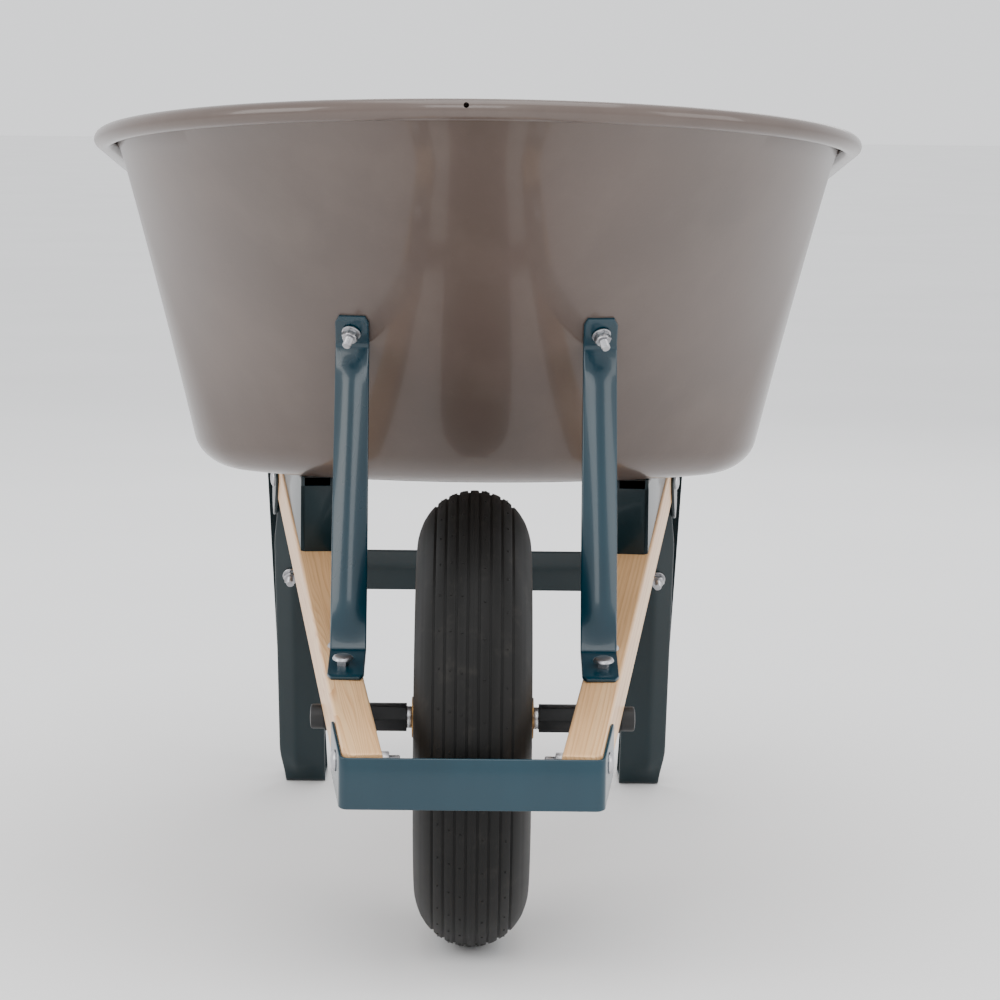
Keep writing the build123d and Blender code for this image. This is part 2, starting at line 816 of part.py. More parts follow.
with BuildPart() as tray:
    add(outer_body)
    add(tray_body(tray_sheet, tray_sheet), mode=Mode.SUBTRACT)
    with BuildSketch(rim_plane):
        with BuildLine():
            rim_outline(rim_bead_radius)
        make_face()
        with BuildLine():
            rim_outline(rim_overhang + tray_sheet)
        make_face(mode=Mode.SUBTRACT)
    extrude(amount=-tray_sheet)
    bead_path = Plane(
        origin=rim_plane.origin - rim_plane.z_dir * rim_bead_radius, x_dir=(1, 0, 0), z_dir=rim_plane.z_dir
    )
    with BuildLine(bead_path) as bead_line:
        rim_outline(rim_bead_radius)
    bead_start = Plane(origin=bead_line.wire() @ 0, z_dir=bead_line.wire() % 0)
    with BuildSketch(bead_start):
        Circle(rim_bead_radius)
    sweep(path=bead_line.wire())
    with BuildSketch(bead_start):
        Circle(rim_bead_radius - tray_sheet)
    sweep(path=bead_line.wire(), mode=Mode.SUBTRACT)
    drain = Plane(
        origin=(drain_hole_x, axle_y + rim_nose_y, rim_nose_top - 0.6 * rim_bead_radius), z_dir=(0, -1, 0)
    )
    with Locations(drain.location):
        Hole(drain_hole_radius, depth=rim_bead_radius)
    with Locations(*[seat.location for seat in both_sides(tray_seats)]):
        Hole(hole_radius, depth=30)
    with Locations(*[seat.location for seat in both_sides([brace_top_seat])]):
        Hole(hole_radius, depth=15)
tray.part.label = "tray"
export_step(tray.part, "parts/tray.step")

# ---- front braces -------------------------------------------------------------------------------


def handle_top_height(x, y):
    """Height of the right handle's top face over a place across and behind the axle."""
    run = Vector(x, axle_y + y, 0) - Vector(handle_nose.X, handle_nose.Y, 0)
    return handle_nose.Z - (run.X * rail_up.X + run.Y * rail_up.Y) / rail_up.Z


brace_outer_x = brace_half_span + brace_width / 2
brace_elevation = side_plane(brace_half_span)
tab_plane = Plane(
    origin=wall_point + wall_normal * (seat_gap + 0.1), x_dir=across_wall, z_dir=wall_normal
)
tab_foot = tab_plane.origin - tab_plane.y_dir * brace_tab_length * 0.5
foot_start_y = brace_bolt_y - brace_foot_front
foot_bend_y = brace_bolt_y + brace_foot_back
foot_start = (foot_start_y, handle_top_height(brace_outer_x, foot_start_y) + seat_gap)
foot_bend = (foot_bend_y, handle_top_height(brace_outer_x, foot_bend_y) + seat_gap)
web_top = (tab_foot.Y - axle_y, tab_foot.Z)
tab_top = (web_top[0] + 8 * tab_plane.y_dir.Y, web_top[1] + 8 * tab_plane.y_dir.Z)
web_low = Vector(brace_half_span, axle_y + foot_bend[0], foot_bend[1])
web_high = Vector(brace_half_span, axle_y + web_top[0], web_top[1])
web_direction = (web_high - web_low).normalized()
web_length = (web_high - web_low).length
ridge_start = 4 * brace_bend_radius
ridge_edge = brace_ridge_share * brace_width / 2

with BuildPart() as right_brace:
    with BuildSketch(brace_elevation):
        with BuildLine():
            FilletPolyline(foot_start, foot_bend, web_top, tab_top, radius=brace_bend_radius)
            offset(amount=brace_sheet, side=Side.LEFT)
        make_face()
    extrude(amount=brace_width / 2, both=True)
    ridge_section = Plane(
        origin=web_low + web_direction * ridge_start, x_dir=(1, 0, 0), z_dir=web_direction
    )
    with BuildSketch(ridge_section):
        with BuildLine():
            Polyline(
                (-ridge_edge, -brace_sheet),
                (0, -brace_sheet - brace_ridge),
                (ridge_edge, -brace_sheet),
                (ridge_edge, -brace_sheet / 2),
                (-ridge_edge, -brace_sheet / 2),
                close=True,
            )
        make_face()
    extrude(amount=web_length - 2 * ridge_start)
    with BuildSketch(tab_plane):
        RectangleRounded(brace_width, brace_tab_length + 6, 3)
    extrude(amount=brace_sheet)
    add(tray_body(-2 * seat_gap, 0), mode=Mode.SUBTRACT)
    with Locations(front_block_seat.location):
        Hole(hole_radius, depth=20)
    with Locations(brace_top_seat.location):
        Hole(hole_radius, depth=20)
right_brace.part.label = "right_front_brace"
export_step(right_brace.part, "parts/right_front_brace.step")

with BuildPart() as left_brace:
    mirror(right_brace.part, about=Plane.YZ)
left_brace.part.label = "left_front_brace"
export_step(left_brace.part, "parts/left_front_brace.step")

# ---- risers -------------------------------------------------------------------------------------


def riser_corner(y, under, drop):
    """Corner of the riser in the handle's side plane: on the handle's top or under the tray."""
    over = handle_point(y, handle_middle)
    height = floor_z(y) - drop if under else over.Z
    corner = handle_side.to_local_coords(Vector(over.X, axle_y + y, height))
    return (corner.X, corner.Y)


riser_front_low = (riser_corner(riser_front_y, False, 0)[0], seat_gap)
riser_front_high = riser_corner(riser_front_y, True, 2 * seat_gap)
riser_tail_high = riser_corner(riser_tail_y, True, 2 * seat_gap)
riser_tail_low = (riser_tail_high[0], seat_gap)
slot_floor = riser_front_high[1] - riser_slot

with BuildPart() as right_riser:
    with BuildSketch(handle_side):
        with BuildLine():
            Polyline(riser_front_low, riser_front_high, riser_tail_high, riser_tail_low, close=True)
        make_face()
    extrude(amount=-handle_width)
    with BuildSketch(handle_side.offset(-riser_sheet)):
        with BuildLine():
            Polyline(
                (riser_front_low[0] + riser_sheet, -1),
                (riser_front_high[0] + riser_sheet, riser_front_high[1] - riser_sheet),
                (riser_tail_high[0] + 1, riser_tail_high[1] - riser_sheet),
                (riser_tail_high[0] + 1, -1),
                close=True,
            )
        make_face()
    extrude(amount=2 * riser_sheet - handle_width, mode=Mode.SUBTRACT)
    with BuildSketch(handle_side.offset(-riser_sheet)):
        with BuildLine():
            Polyline(
                (riser_front_low[0] - 5, slot_floor),
                (riser_front_low[0] - 5, riser_front_high[1] + 5),
                (riser_front_high[0] + 2 * riser_sheet, riser_front_high[1] + 5),
                (riser_front_high[0] + 2 * riser_sheet, slot_floor),
                close=True,
            )
        make_face()
    extrude(amount=2 * riser_sheet - handle_width, mode=Mode.SUBTRACT)
    with Locations(*[seat.location for seat in tray_seats]):
        Hole(hole_radius)
right_riser.part.label = "right_riser"
export_step(right_riser.part, "parts/right_riser.step")

with BuildPart() as left_riser:
    mirror(right_riser.part, about=Plane.YZ)
left_riser.part.label = "left_riser"
export_step(left_riser.part, "parts/left_riser.step")

# ---- legs ---------------------------------------------------------------------------------------

leg_tuck = handle_point(leg_front_top_y, 0).X - leg_inner - leg_width / 2
leg_front_top = handle_point(leg_front_top_y, leg_tuck, -handle_depth / 2)
leg_back_top = handle_point(leg_back_top_y, leg_tuck, -handle_depth / 2)
leg_middle = leg_inner + leg_width / 2
foot_width = leg_width - foot_taper
foot_front = Vector(leg_middle, axle_y + foot_front_y, 0)
foot_back = Vector(leg_middle, axle_y + foot_back_y, 0)
front_strut = Vector(0, leg_front_top.Y - foot_front.Y, leg_front_top.Z)
back_strut = leg_back_top - foot_back
front_strut_plane = Plane(origin=foot_front, x_dir=(1, 0, 0), z_dir=front_strut)
back_strut_plane = Plane(origin=foot_back, x_dir=(1, 0, 0), z_dir=back_strut)
ridge_x = leg_ridge_offset - leg_width / 2
# Struts are drawn this much past both ends and then cut off at the ground and the handle.
strut_spare = 40.0


def ridged_strip(outward):
    """Section of a strut: a sheet folded to a ridge that stands out to the given side."""
    edge = leg_width / 2
    rise_out = outward * leg_ridge_height
    sheet = -outward * leg_sheet
    return Polyline(
        (-edge, 0),
        (ridge_x, rise_out),
        (edge, 0),
        (edge, sheet),
        (ridge_x, rise_out + sheet),
        (-edge, sheet),
        close=True,
    )


def ear(top_y, lean):
    """Plane and length of the ear that runs up the handle's outer face along its strut."""
    low_up = -handle_depth - ear_overlap
    low = handle_point(top_y - lean * (ear_overlap + handle_depth / 2), -seat_gap, low_up)
    high = handle_point(top_y + lean * (handle_depth / 2 - 6), -seat_gap, -6)
    return Plane(origin=low, x_dir=high - low, z_dir=rail_out), (high - low).length


ears = [
    ear(leg_front_top_y, front_strut.Y / front_strut.Z),
    ear(leg_back_top_y, back_strut.Y / back_strut.Z),
]
cross_height_up = cross_level / (front_strut.normalized()).Z
cross_centre = Vector(0, foot_front.Y, 0) + front_strut.normalized() * cross_height_up
rear_normal = front_strut_plane.y_dir
cross_face = cross_centre + rear_normal * (leg_sheet + seat_gap)
cross_bolt_x = leg_inner + leg_ridge_offset + 2.0
cross_seat = Plane(
    origin=cross_face + Vector(cross_bolt_x, 0, 0) + rear_normal * (leg_sheet + seat_gap),
    x_dir=(1, 0, 0),
    z_dir=rear_normal,
)
cross_grip = 2 * leg_sheet + leg_ridge_height + 4 * seat_gap

with BuildPart() as right_leg:
    with BuildSketch(front_strut_plane.offset(-strut_spare)):
        with BuildLine():
            ridged_strip(-1)
        make_face()
    extrude(amount=strut_spare + front_strut.length + handle_depth)
    with BuildSketch(back_strut_plane.offset(-strut_spare)):
        with BuildLine():
            ridged_strip(1)
        make_face()
    extrude(amount=strut_spare + back_strut.length + handle_depth)
    split(bisect_by=Plane.XY, keep=Keep.TOP)
    split(bisect_by=handle_underside.offset(seat_gap), keep=Keep.TOP)
    taper = Plane(
        origin=(leg_inner + leg_width - foot_taper, foot_front.Y, 0),
        x_dir=(0, 1, 0),
        z_dir=(-foot_taper_height, 0, foot_taper),
    )
    split(bisect_by=taper, keep=Keep.TOP)
    with BuildSketch(Plane.XY):
        with Locations((leg_inner + foot_width / 2, (foot_front.Y + foot_back.Y) / 2)):
            Rectangle(foot_width, foot_back_y - foot_front_y + 2 * leg_ridge_height)
    extrude(amount=leg_sheet)
    for ear_plane, ear_length in ears:
        with BuildSketch(ear_plane):
            with Locations((ear_length / 2, 0)):
                RectangleRounded(ear_length, ear_width, 6)
        extrude(amount=leg_sheet)
    with Locations(leg_front_seat.location, leg_back_seat.location, cross_seat.location):
        Hole(hole_radius, depth=30)
right_leg.part.label = "right_leg"
export_step(right_leg.part, "parts/right_leg.step")

with BuildPart() as left_leg:
    mirror(right_leg.part, about=Plane.YZ)
left_leg.part.label = "left_leg"
export_step(left_leg.part, "parts/left_leg.step")

cross_middle = cross_half_span - cross_end_length
cross_end_middle = cross_half_span - (cross_end_length + 1) / 2
with BuildPart() as leg_cross_brace:
    with BuildSketch(
        Plane(origin=cross_face - Vector(cross_middle, 0, 0), x_dir=front_strut, z_dir=(1, 0, 0))
    ):
        with BuildLine():
            Polyline(
                (-cross_height / 2, 0),
                (0, cross_ridge),
                (cross_height / 2, 0),
                (cross_height / 2, -leg_sheet),
                (0, cross_ridge - leg_sheet),
                (-cross_height / 2, -leg_sheet),
                close=True,
            )
        make_face()
    extrude(amount=2 * cross_middle)
    with BuildSketch(Plane(origin=cross_face, x_dir=(1, 0, 0), z_dir=rear_normal)):
        with Locations((cross_end_middle, 0), (-cross_end_middle, 0)):
            Rectangle(cross_end_length + 1, cross_height)
    extrude(amount=leg_sheet)
    with Locations(*[seat.location for seat in both_sides([cross_seat])]):
        Hole(hole_radius, depth=10)
leg_cross_brace.part.label = "leg_cross_brace"
export_step(leg_cross_brace.part, "parts/leg_cross_brace.step")

# ---- bolts and nuts -----------------------------------------------------------------------------


def fastener_group(name, seats, fastener):
    """One fastener at each seat on both sides, written as one node of separate solids."""
    with BuildPart() as group:
        with Locations(*[seat.location for seat in both_sides(seats)]):
            add(fastener)
    group.part.label = name
    export_step(group.part, f"parts/{name}.step")


def grip_to_underside(seat):
    """Distance from a seat down its own axis to the handle's underside."""
    return (seat.origin - handle_underside.origin).dot(rail_up) / seat.z_dir.dot(rail_up)


lateral_grip = handle_width + leg_sheet + 3 * seat_gap
front_block_grip = axle_block_grip + brace_sheet + brace_foot_gap + seat_gap + neck_length
rear_block_grip = axle_block_grip + 3 * seat_gap
tray_tilt_gap = washer_radius * tan(radians(handle_rise - floor_pitch)) + 0.3
brace_top_grip = tray_sheet + brace_sheet + 1.2

fastener_group("guard_bolts", [guard_seat], carriage_bolt(lateral_grip))
fastener_group("guard_nuts", [guard_seat], nut_and_washer(lateral_grip))
fastener_group("front_block_bolts", [front_block_seat], carriage_bolt(front_block_grip, proud_neck=True))
fastener_group("front_block_nuts", [front_block_seat], nut_and_washer(front_block_grip))
fastener_group("rear_block_bolts", [rear_block_seat], carriage_bolt(rear_block_grip))
fastener_group("rear_block_nuts", [rear_block_seat], nut_and_washer(rear_block_grip))
fastener_group("brace_top_bolts", [brace_top_seat], carriage_bolt(brace_top_grip))
fastener_group("brace_top_nuts", [brace_top_seat], nut_and_washer(brace_top_grip))
fastener_group("leg_bolts", [leg_front_seat, leg_back_seat], carriage_bolt(lateral_grip))
fastener_group("leg_nuts", [leg_front_seat, leg_back_seat], nut_and_washer(lateral_grip))
fastener_group("cross_brace_bolts", [cross_seat], carriage_bolt(cross_grip))
fastener_group("cross_brace_nuts", [cross_seat], nut_and_washer(cross_grip))
for number, seat in enumerate(tray_seats, start=1):
    place = "front" if number == 1 else "rear"
    tray_grip = grip_to_underside(seat)
    fastener_group(f"tray_{place}_bolts", [seat], carriage_bolt(tray_grip + tray_tilt_gap))
    fastener_group(f"tray_{place}_nuts", [seat], nut_and_washer(tray_grip, tray_tilt_gap))
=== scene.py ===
from math import atan2, cos, hypot, pi, radians, sin, sqrt, tan

import bmesh
import bpy
from mathutils import Matrix, Vector
from mathutils.bvhtree import BVHTree


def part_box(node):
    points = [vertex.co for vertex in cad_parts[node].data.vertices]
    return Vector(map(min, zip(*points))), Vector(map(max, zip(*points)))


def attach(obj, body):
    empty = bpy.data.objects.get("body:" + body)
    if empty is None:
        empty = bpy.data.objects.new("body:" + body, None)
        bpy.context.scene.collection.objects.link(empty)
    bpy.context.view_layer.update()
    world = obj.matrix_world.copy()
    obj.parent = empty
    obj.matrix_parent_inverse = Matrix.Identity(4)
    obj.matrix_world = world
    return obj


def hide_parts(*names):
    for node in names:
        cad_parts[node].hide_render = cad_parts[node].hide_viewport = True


# The wheelbarrow's outer pieces and finishes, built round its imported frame.
# X runs across with the right-hand side at +X, Y from the nose to the grips, and Z up.
# Sizes are in millimetres, and Y is given behind the axle, until point() makes them metres.

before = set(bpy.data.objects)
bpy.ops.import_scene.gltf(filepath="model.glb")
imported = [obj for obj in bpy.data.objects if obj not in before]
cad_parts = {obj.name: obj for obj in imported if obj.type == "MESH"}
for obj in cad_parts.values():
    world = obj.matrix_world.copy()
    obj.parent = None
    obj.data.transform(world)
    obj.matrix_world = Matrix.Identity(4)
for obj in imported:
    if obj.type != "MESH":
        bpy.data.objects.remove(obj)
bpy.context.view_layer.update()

# ---- sizes shared with the frame ----

axle_low, axle_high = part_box("axle")
axle_y = 500 * (axle_low[1] + axle_high[1])
tyre_radius = 500 * (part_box("tyre")[1][2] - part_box("tyre")[0][2])
rise = radians(11.7)
splay = radians(7.2)
handle_nose = Vector((105.7, -225.0, 209.0))
handle_width = 33.0
handle_depth = 42.0
handle_length = 1524.0
rail_along = Vector((sin(splay) * cos(rise), cos(splay) * cos(rise), sin(rise)))
rail_out = Vector((cos(splay), -sin(splay), 0))
rail_up = rail_out.cross(rail_along)
tray_sheet = 1.5
sheet = 3.0


def point(x, y, z):
    """A place in the scene, in metres, from millimetres across, behind the axle and up."""
    return Vector((x, y + axle_y, z)) / 1000


def handle_point(y, inward, up=0.0):
    """Place y behind the axle, in from the right handle's outer face and above its top."""
    along = (y - handle_nose.y) / rail_along.y
    return handle_nose + rail_along * along - rail_out * inward + rail_up * up


# ---- shader maths ----


class Value:
    """A socket whose arithmetic adds nodes to its material."""

    def __init__(self, tree, socket):
        self.tree = tree
        self.socket = socket

    def node(self, kind, settings=None, output=0, **inputs):
        """A new node: its settings first, then its named inputs as numbers or values."""
        made = self.tree.nodes.new(kind)
        for name, setting in (settings or {}).items():
            if name == "stops":
                ramp_stops(made.color_ramp, setting)
            else:
                setattr(made, name, setting)
        for name, given in inputs.items():
            key = int(name[1:]) if name[1:].isdigit() else name.replace("_", " ")
            socket = made.inputs[key]
            if isinstance(given, Value):
                self.tree.links.new(given.socket, socket)
            else:
                socket.default_value = given
        return Value(self.tree, made.outputs[output])

    def maths(self, operation, *others):
        inputs = {f"_{place}": other for place, other in enumerate(others)}
        return self.node("ShaderNodeMath", {"operation": operation}, **inputs)

    def __add__(self, other):
        return self.maths("ADD", self, other)

    def __sub__(self, other):
        return self.maths("SUBTRACT", self, other)

    def __mul__(self, other):
        return self.maths("MULTIPLY", self, other)

    def __truediv__(self, other):
        return self.maths("DIVIDE", self, other)

    def __rsub__(self, other):
        return self.maths("SUBTRACT", other, self)

    __radd__ = __add__
    __rmul__ = __mul__

    def clamped(self, low, high):
        """Nought below low, one above high and a straight ramp between."""
        inputs = {"_0": self, "_1": low, "_2": high, "_3": 0.0, "_4": 1.0}
        return self.node("ShaderNodeMapRange", {"clamp": True}, **inputs)

    def mix(self, first, second):
        """Colour that goes from first to second as this value goes from nought to one."""
        settings = {"data_type": "RGBA", "clamp_factor": True}
        return self.node("ShaderNodeMix", settings, output=2, _0=self, _6=first, _7=second)

    def dot(self, direction):
        inputs = {"_0": self, "_1": tuple(direction)}
        return self.node("ShaderNodeVectorMath", {"operation": "DOT_PRODUCT"}, output=1, **inputs)

    def noise(self, scale, detail=3.0, roughness=0.5):
        return self.node("ShaderNodeTexNoise", Vector=self, Scale=scale, Detail=detail, Roughness=roughness)

    def mapped(self, scale):
        return self.node("ShaderNodeMapping", Vector=self, Scale=scale)

    def bump(self, strength, distance):
        return self.node("ShaderNodeBump", Height=self, Strength=strength, Distance=distance)


def ramp_stops(ramp, stops):
    for number, (place, colour) in enumerate(stops):
        stop = ramp.elements[number] if number < 2 else ramp.elements.new(place)
        stop.position = place
        stop.color = colour


def linear(red, green, blue):
    """A colour for the shaders from its 8-bit display values."""
    shares = [channel / 255 for channel in (red, green, blue)]
    return tuple(c / 12.92 if c <= 0.04045 else ((c + 0.055) / 1.055) ** 2.4 for c in shares) + (1.0,)


def material(name, paint):
    """A material with one Principled shader, which paint(shader, place) finishes."""
    made = bpy.data.materials.new(name)
    made.use_nodes = True
    tree = made.node_tree
    shader = tree.nodes["Principled BSDF"]
    place = Value(tree, tree.nodes.new("ShaderNodeTexCoord").outputs["Object"])

    def plug(name, given):
        if isinstance(given, Value):
            tree.links.new(given.socket, shader.inputs[name])
        else:
            shader.inputs[name].default_value = given

    paint(plug, place)
    return made


def enamel(light, dark, dust, rough, coat):
    """Baked gloss enamel: slight orange peel, cloudy gloss and colour, and a fine bloom of dust."""

    def paint(plug, place):
        cloud = place.noise(5.0, 4.0)
        speck = place.noise(260.0, 2.0)
        haze = place.mapped((9.0, 9.0, 3.0)).noise(1.6, 4.0, 0.6)
        tone = cloud.clamped(0.3, 0.7).mix(linear(*dark), linear(*light))
        dusty = haze.clamped(0.45, 0.85) * 0.18 + speck.clamped(0.6, 0.85) * 0.05
        plug("Base Color", dusty.mix(tone, linear(*dust)))
        plug("Roughness", rough + cloud * 0.08 + haze * 0.10)
        peel = place.noise(420.0, 1.0)
        plug("Normal", peel.bump(0.10, 0.0004))
        plug("Coat Weight", coat)
        plug("Coat Roughness", 0.08)
        plug("Specular IOR Level", 0.35)

    return paint


def ash_wood(side):
    """Planed wood with long grain down one handle, under a thin clear varnish."""
    along = Vector((side * rail_along.x, rail_along.y, rail_along.z))
    out = Vector((rail_out.x, side * rail_out.y, 0.0))

    def paint(plug, place):
        run = place.dot(along)
        wide = place.dot(out)
        deep = place.dot(along.cross(out))
        stretched = place.node(
            "ShaderNodeCombineXYZ", X=run * 1.3, Y=wide * 26.0 + side * 3.0, Z=deep * 26.0
        )
        sway = stretched.noise(1.1, 2.0)
        rings = place.node(
            "ShaderNodeCombineXYZ", X=run * 0.7, Y=wide * 30.0 + sway * 1.8, Z=deep * 14.0 + sway * 2.2
        )
        bands = rings.node(
            "ShaderNodeTexWave",
            {"wave_type": "RINGS", "rings_direction": "X", "wave_profile": "SAW"},
            output=1,
            Vector=rings,
            Scale=3.2,
            Distortion=2.4,
            Detail=3.0,
        )
        fibre = place.node("ShaderNodeCombineXYZ", X=run * 9.0, Y=wide * 620.0, Z=deep * 620.0)
        pores = fibre.noise(1.0, 4.0, 0.7)
        fleck = fibre.noise(0.35, 2.0).clamped(0.60, 0.72)
        late = bands.clamped(0.45, 1.0)
        base = late.mix(linear(238, 196, 146), linear(214, 161, 110))
        base = sway.clamped(0.35, 0.75).mix(base, linear(222, 172, 118))
        grained = (pores.clamped(0.52, 0.74) * 0.40 + fleck * 0.18).mix(base, linear(150, 98, 60))
        plug("Base Color", grained)
        plug("Roughness", 0.36 + pores * 0.14)
        plug("Normal", (pores * 0.7 + late * 0.3).bump(0.18, 0.0005))
        plug("Coat Weight", 0.22)
        plug("Coat Roughness", 0.22)

    return paint


def tyre_rubber(plug, place):
    """Moulded rubber: soft sheen, fine grain, a little grey bloom and dust."""
    bloom = place.noise(16.0, 5.0, 0.6)
    grain = place.noise(900.0, 2.0)
    dust = place.noise(55.0, 6.0, 0.7).clamped(0.55, 0.78)
    base = bloom.clamped(0.35, 0.7).mix(linear(9, 9, 8), linear(17, 16, 15))
    plug("Base Color", (dust * 0.08).mix(base, linear(110, 104, 94)))
    plug("Roughness", 0.44 + bloom * 0.14)
    plug("Normal", (grain * 0.6 + bloom * 0.4).bump(0.16, 0.0004))
    plug("Specular IOR Level", 0.2)


def zinc_steel(plug, place):
    """Bright plated steel with a fine spangle and dull patches."""
    patch = place.noise(70.0, 4.0)
    spangle = place.node("ShaderNodeTexVoronoi", Vector=place, Scale=420.0)
    plug("Base Color", patch.clamped(0.35, 0.7).mix(linear(196, 196, 198), linear(158, 158, 162)))
    plug("Metallic", 1.0)
    plug("Roughness", 0.24 + patch * 0.20)
    plug("Normal", (spangle * 0.5 + place.noise(600.0) * 0.5).bump(0.08, 0.0003))


def black_cast(plug, place):
    """Black moulded block: satin, lightly pebbled and dusty in random patches."""
    pebble = place.noise(520.0, 3.0)
    cloud = place.noise(30.0, 4.0)
    plug("Base Color", cloud.clamped(0.4, 0.75).mix(linear(12, 12, 13), linear(28, 28, 30)))
    plug("Roughness", 0.40 + cloud * 0.18)
    plug("Normal", (pebble + cloud * 0.5).bump(0.22, 0.0005))
    plug("Specular IOR Level", 0.45)


def bush_bronze(plug, place):
    """Sintered bronze, oil dark in patches."""
    stain = place.noise(90.0, 5.0, 0.65)
    plug("Base Color", stain.clamped(0.35, 0.65).mix(linear(186, 146, 92), linear(112, 82, 52)))
    plug("Metallic", 0.9)
    plug("Roughness", 0.34 + stain * 0.22)
    plug("Normal", place.noise(1200.0, 2.0).bump(0.12, 0.0003))


def pale_floor(plug, place):
    shade = place.noise(1.3, 2.0)
    plug("Base Color", shade.clamped(0.2, 0.8).mix(linear(240, 240, 240), linear(246, 246, 246)))
    plug("Roughness", 0.75)


# Each enamel's light, dark and dust colours, its roughness and its coat.
enamels = {
    # The tray's enamel is grey. Its colour here is made warm taupe and darker as a painted reflection of a
    # brown floor.
    "tray_enamel": ((88, 75, 69), (79, 67, 61), (120, 107, 97), 0.24, 0.5),
    "teal_paint": ((0, 46, 60), (0, 37, 49), (34, 74, 84), 0.20, 0.3),
    # A darker copy of the teal paint: painted shade for the legs, cross brace and risers, which stood in
    # shadow.
    "shaded_teal": ((3, 30, 36), (2, 23, 28), (30, 52, 56), 0.26, 0.2),
    "rim_paint": ((4, 50, 62), (3, 40, 50), (44, 80, 88), 0.24, 0.4),
}
finishes = {name: material(name, enamel(*look)) for name, look in enamels.items()}
finishes |= {
    "ash_wood": material("ash_wood_right", ash_wood(1)),
    "ash_wood_left": material("ash_wood_left", ash_wood(-1)),
    "tyre_rubber": material("tyre_rubber", tyre_rubber),
    "tube_rubber": material("tube_rubber", tyre_rubber),
    "zinc_steel": material("zinc_steel", zinc_steel),
    "black_plastic": material("black_cast", black_cast),
    "bush_bronze": material("bush_bronze", bush_bronze),
    "floor": material("floor", pale_floor),
}

# ---- making pieces ----


def placed(name, data):
    """A new object in the scene."""
    made = bpy.data.objects.new(name, data)
    bpy.context.scene.collection.objects.link(made)
    return made


def piece(name, mesh, slot, body, replaced=(), finish=None, smooth=38):
    """A finished piece: its material, from its finish or else its slot, its body and the nodes it stands for.
    """
    made = placed(name, mesh)
    mesh.materials.clear()
    mesh.materials.append(finishes[finish or slot])
    mesh.shade_smooth()
    mesh.set_sharp_from_angle(angle=radians(smooth))
    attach(made, body)
    if replaced:
        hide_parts(*replaced)
    return made


def plain_mesh(name, points, faces):
    """A mesh from places in millimetres, with its doubles merged and its faces outwards."""
    mesh = bpy.data.meshes.new(name)
    mesh.from_pydata([point(*place) for place in points], [], faces)
    work = bmesh.new()
    work.from_mesh(mesh)
    bmesh.ops.remove_doubles(work, verts=work.verts, dist=0.00001)
    bmesh.ops.dissolve_degenerate(work, edges=work.edges, dist=0.000005)
    bmesh.ops.recalc_face_normals(work, faces=work.faces)
    work.to_mesh(mesh)
    work.free()
    return mesh


def with_modifiers(mesh, *modifiers):
    """The mesh after modifiers, each given as its kind and settings."""
    carrier = placed("carrier", mesh)
    for kind, settings in modifiers:
        modifier = carrier.modifiers.new(kind, kind)
        for name, setting in settings.items():
            setattr(modifier, name, setting)
    evaluated = carrier.evaluated_get(bpy.context.evaluated_depsgraph_get())
    result = bpy.data.meshes.new_from_object(evaluated)
    bpy.data.objects.remove(carrier)
    return result


def eased(mesh, width, segments=2, angle=40):
    """The mesh with its sharp edges rounded by so many millimetres."""
    settings = {
        "width": width / 1000,
        "segments": segments,
        "limit_method": "ANGLE",
        "angle_limit": radians(angle),
        "use_clamp_overlap": True,
        "harden_normals": False,
    }
    return with_modifiers(mesh, ("BEVEL", settings))


def joined(name, meshes):
    """One mesh from several."""
    work = bmesh.new()
    for mesh in meshes:
        work.from_mesh(mesh)
    whole = bpy.data.meshes.new(name)
    work.to_mesh(whole)
    work.free()
    return whole


def flipped(mesh):
    """The mesh mirrored to the left-hand side, with its faces still outwards."""
    other = mesh.copy()
    other.transform(Matrix.Diagonal((-1, 1, 1, 1)))
    other.flip_normals()
    return other


def pair(stem, mesh, slot, node, finish=None, smooth=38, left_finish=None):
    """A fixed piece for the right-hand side and its mirror image for the left."""
    piece(f"{stem}_right", mesh, slot, "root", [f"right_{node}"], finish, smooth)
    piece(f"{stem}_left", flipped(mesh), slot, "root", [f"left_{node}"], left_finish or finish, smooth)


def rings_mesh(name, rings, closed_across=True, closed_along=False):
    """Skin over rings of points: each ring is joined to the next, and the ends are capped."""
    count = len(rings[0])
    points = [place for ring in rings for place in ring]
    faces = []
    spans = len(rings) if closed_along else len(rings) - 1
    steps = count if closed_across else count - 1
    for ring in range(spans):
        here = ring * count
        there = (ring + 1) % len(rings) * count
        for step in range(steps):
            beside = (step + 1) % count
            faces.append((here + step, here + beside, there + beside, there + step))
    if not closed_along:
        faces.append(tuple(range(count)))
        faces.append(tuple((len(rings) - 1) * count + step for step in range(count)))
    return plain_mesh(name, points, faces)


def turned_mesh(name, profile, segments, closed=True):
    """A body of revolution about the axle from (across, radius) points of its section."""
    rings = []
    for step in range(segments):
        turn = 2 * pi * step / segments
        rings.append([(x, r * cos(turn), tyre_radius + r * sin(turn)) for x, r in profile])
    return rings_mesh(name, rings, closed_across=closed, closed_along=True)


def arc(centre, radius, start, end, steps):
    """Points on an arc in a plane, from one angle in degrees to another."""
    turns = [radians(start + (end - start) * step / steps) for step in range(steps + 1)]
    return [(centre[0] + radius * cos(t), centre[1] + radius * sin(t)) for t in turns]


def rounded_path(corners, radii, steps=6):
    """Points along straight runs with a round bend at each inner corner."""
    path = [Vector(corners[0])]
    for before, corner, after, radius in zip(corners, corners[1:], corners[2:], radii):
        corner = Vector(corner)
        into = (corner - Vector(before)).normalized()
        onto = (Vector(after) - corner).normalized()
        half = into.angle(onto) / 2
        reach = radius * tan(half)
        centre = corner + (onto - into).normalized() * (radius / cos(half))
        start = corner - into * reach
        for step in range(steps + 1):
            share = step / steps
            spoke = (start - centre).lerp(corner + onto * reach - centre, share).normalized()
            path.append(centre + spoke * radius)
    path.append(Vector(corners[-1]))
    return path


# ---- Geometry Nodes: copies at seats ----


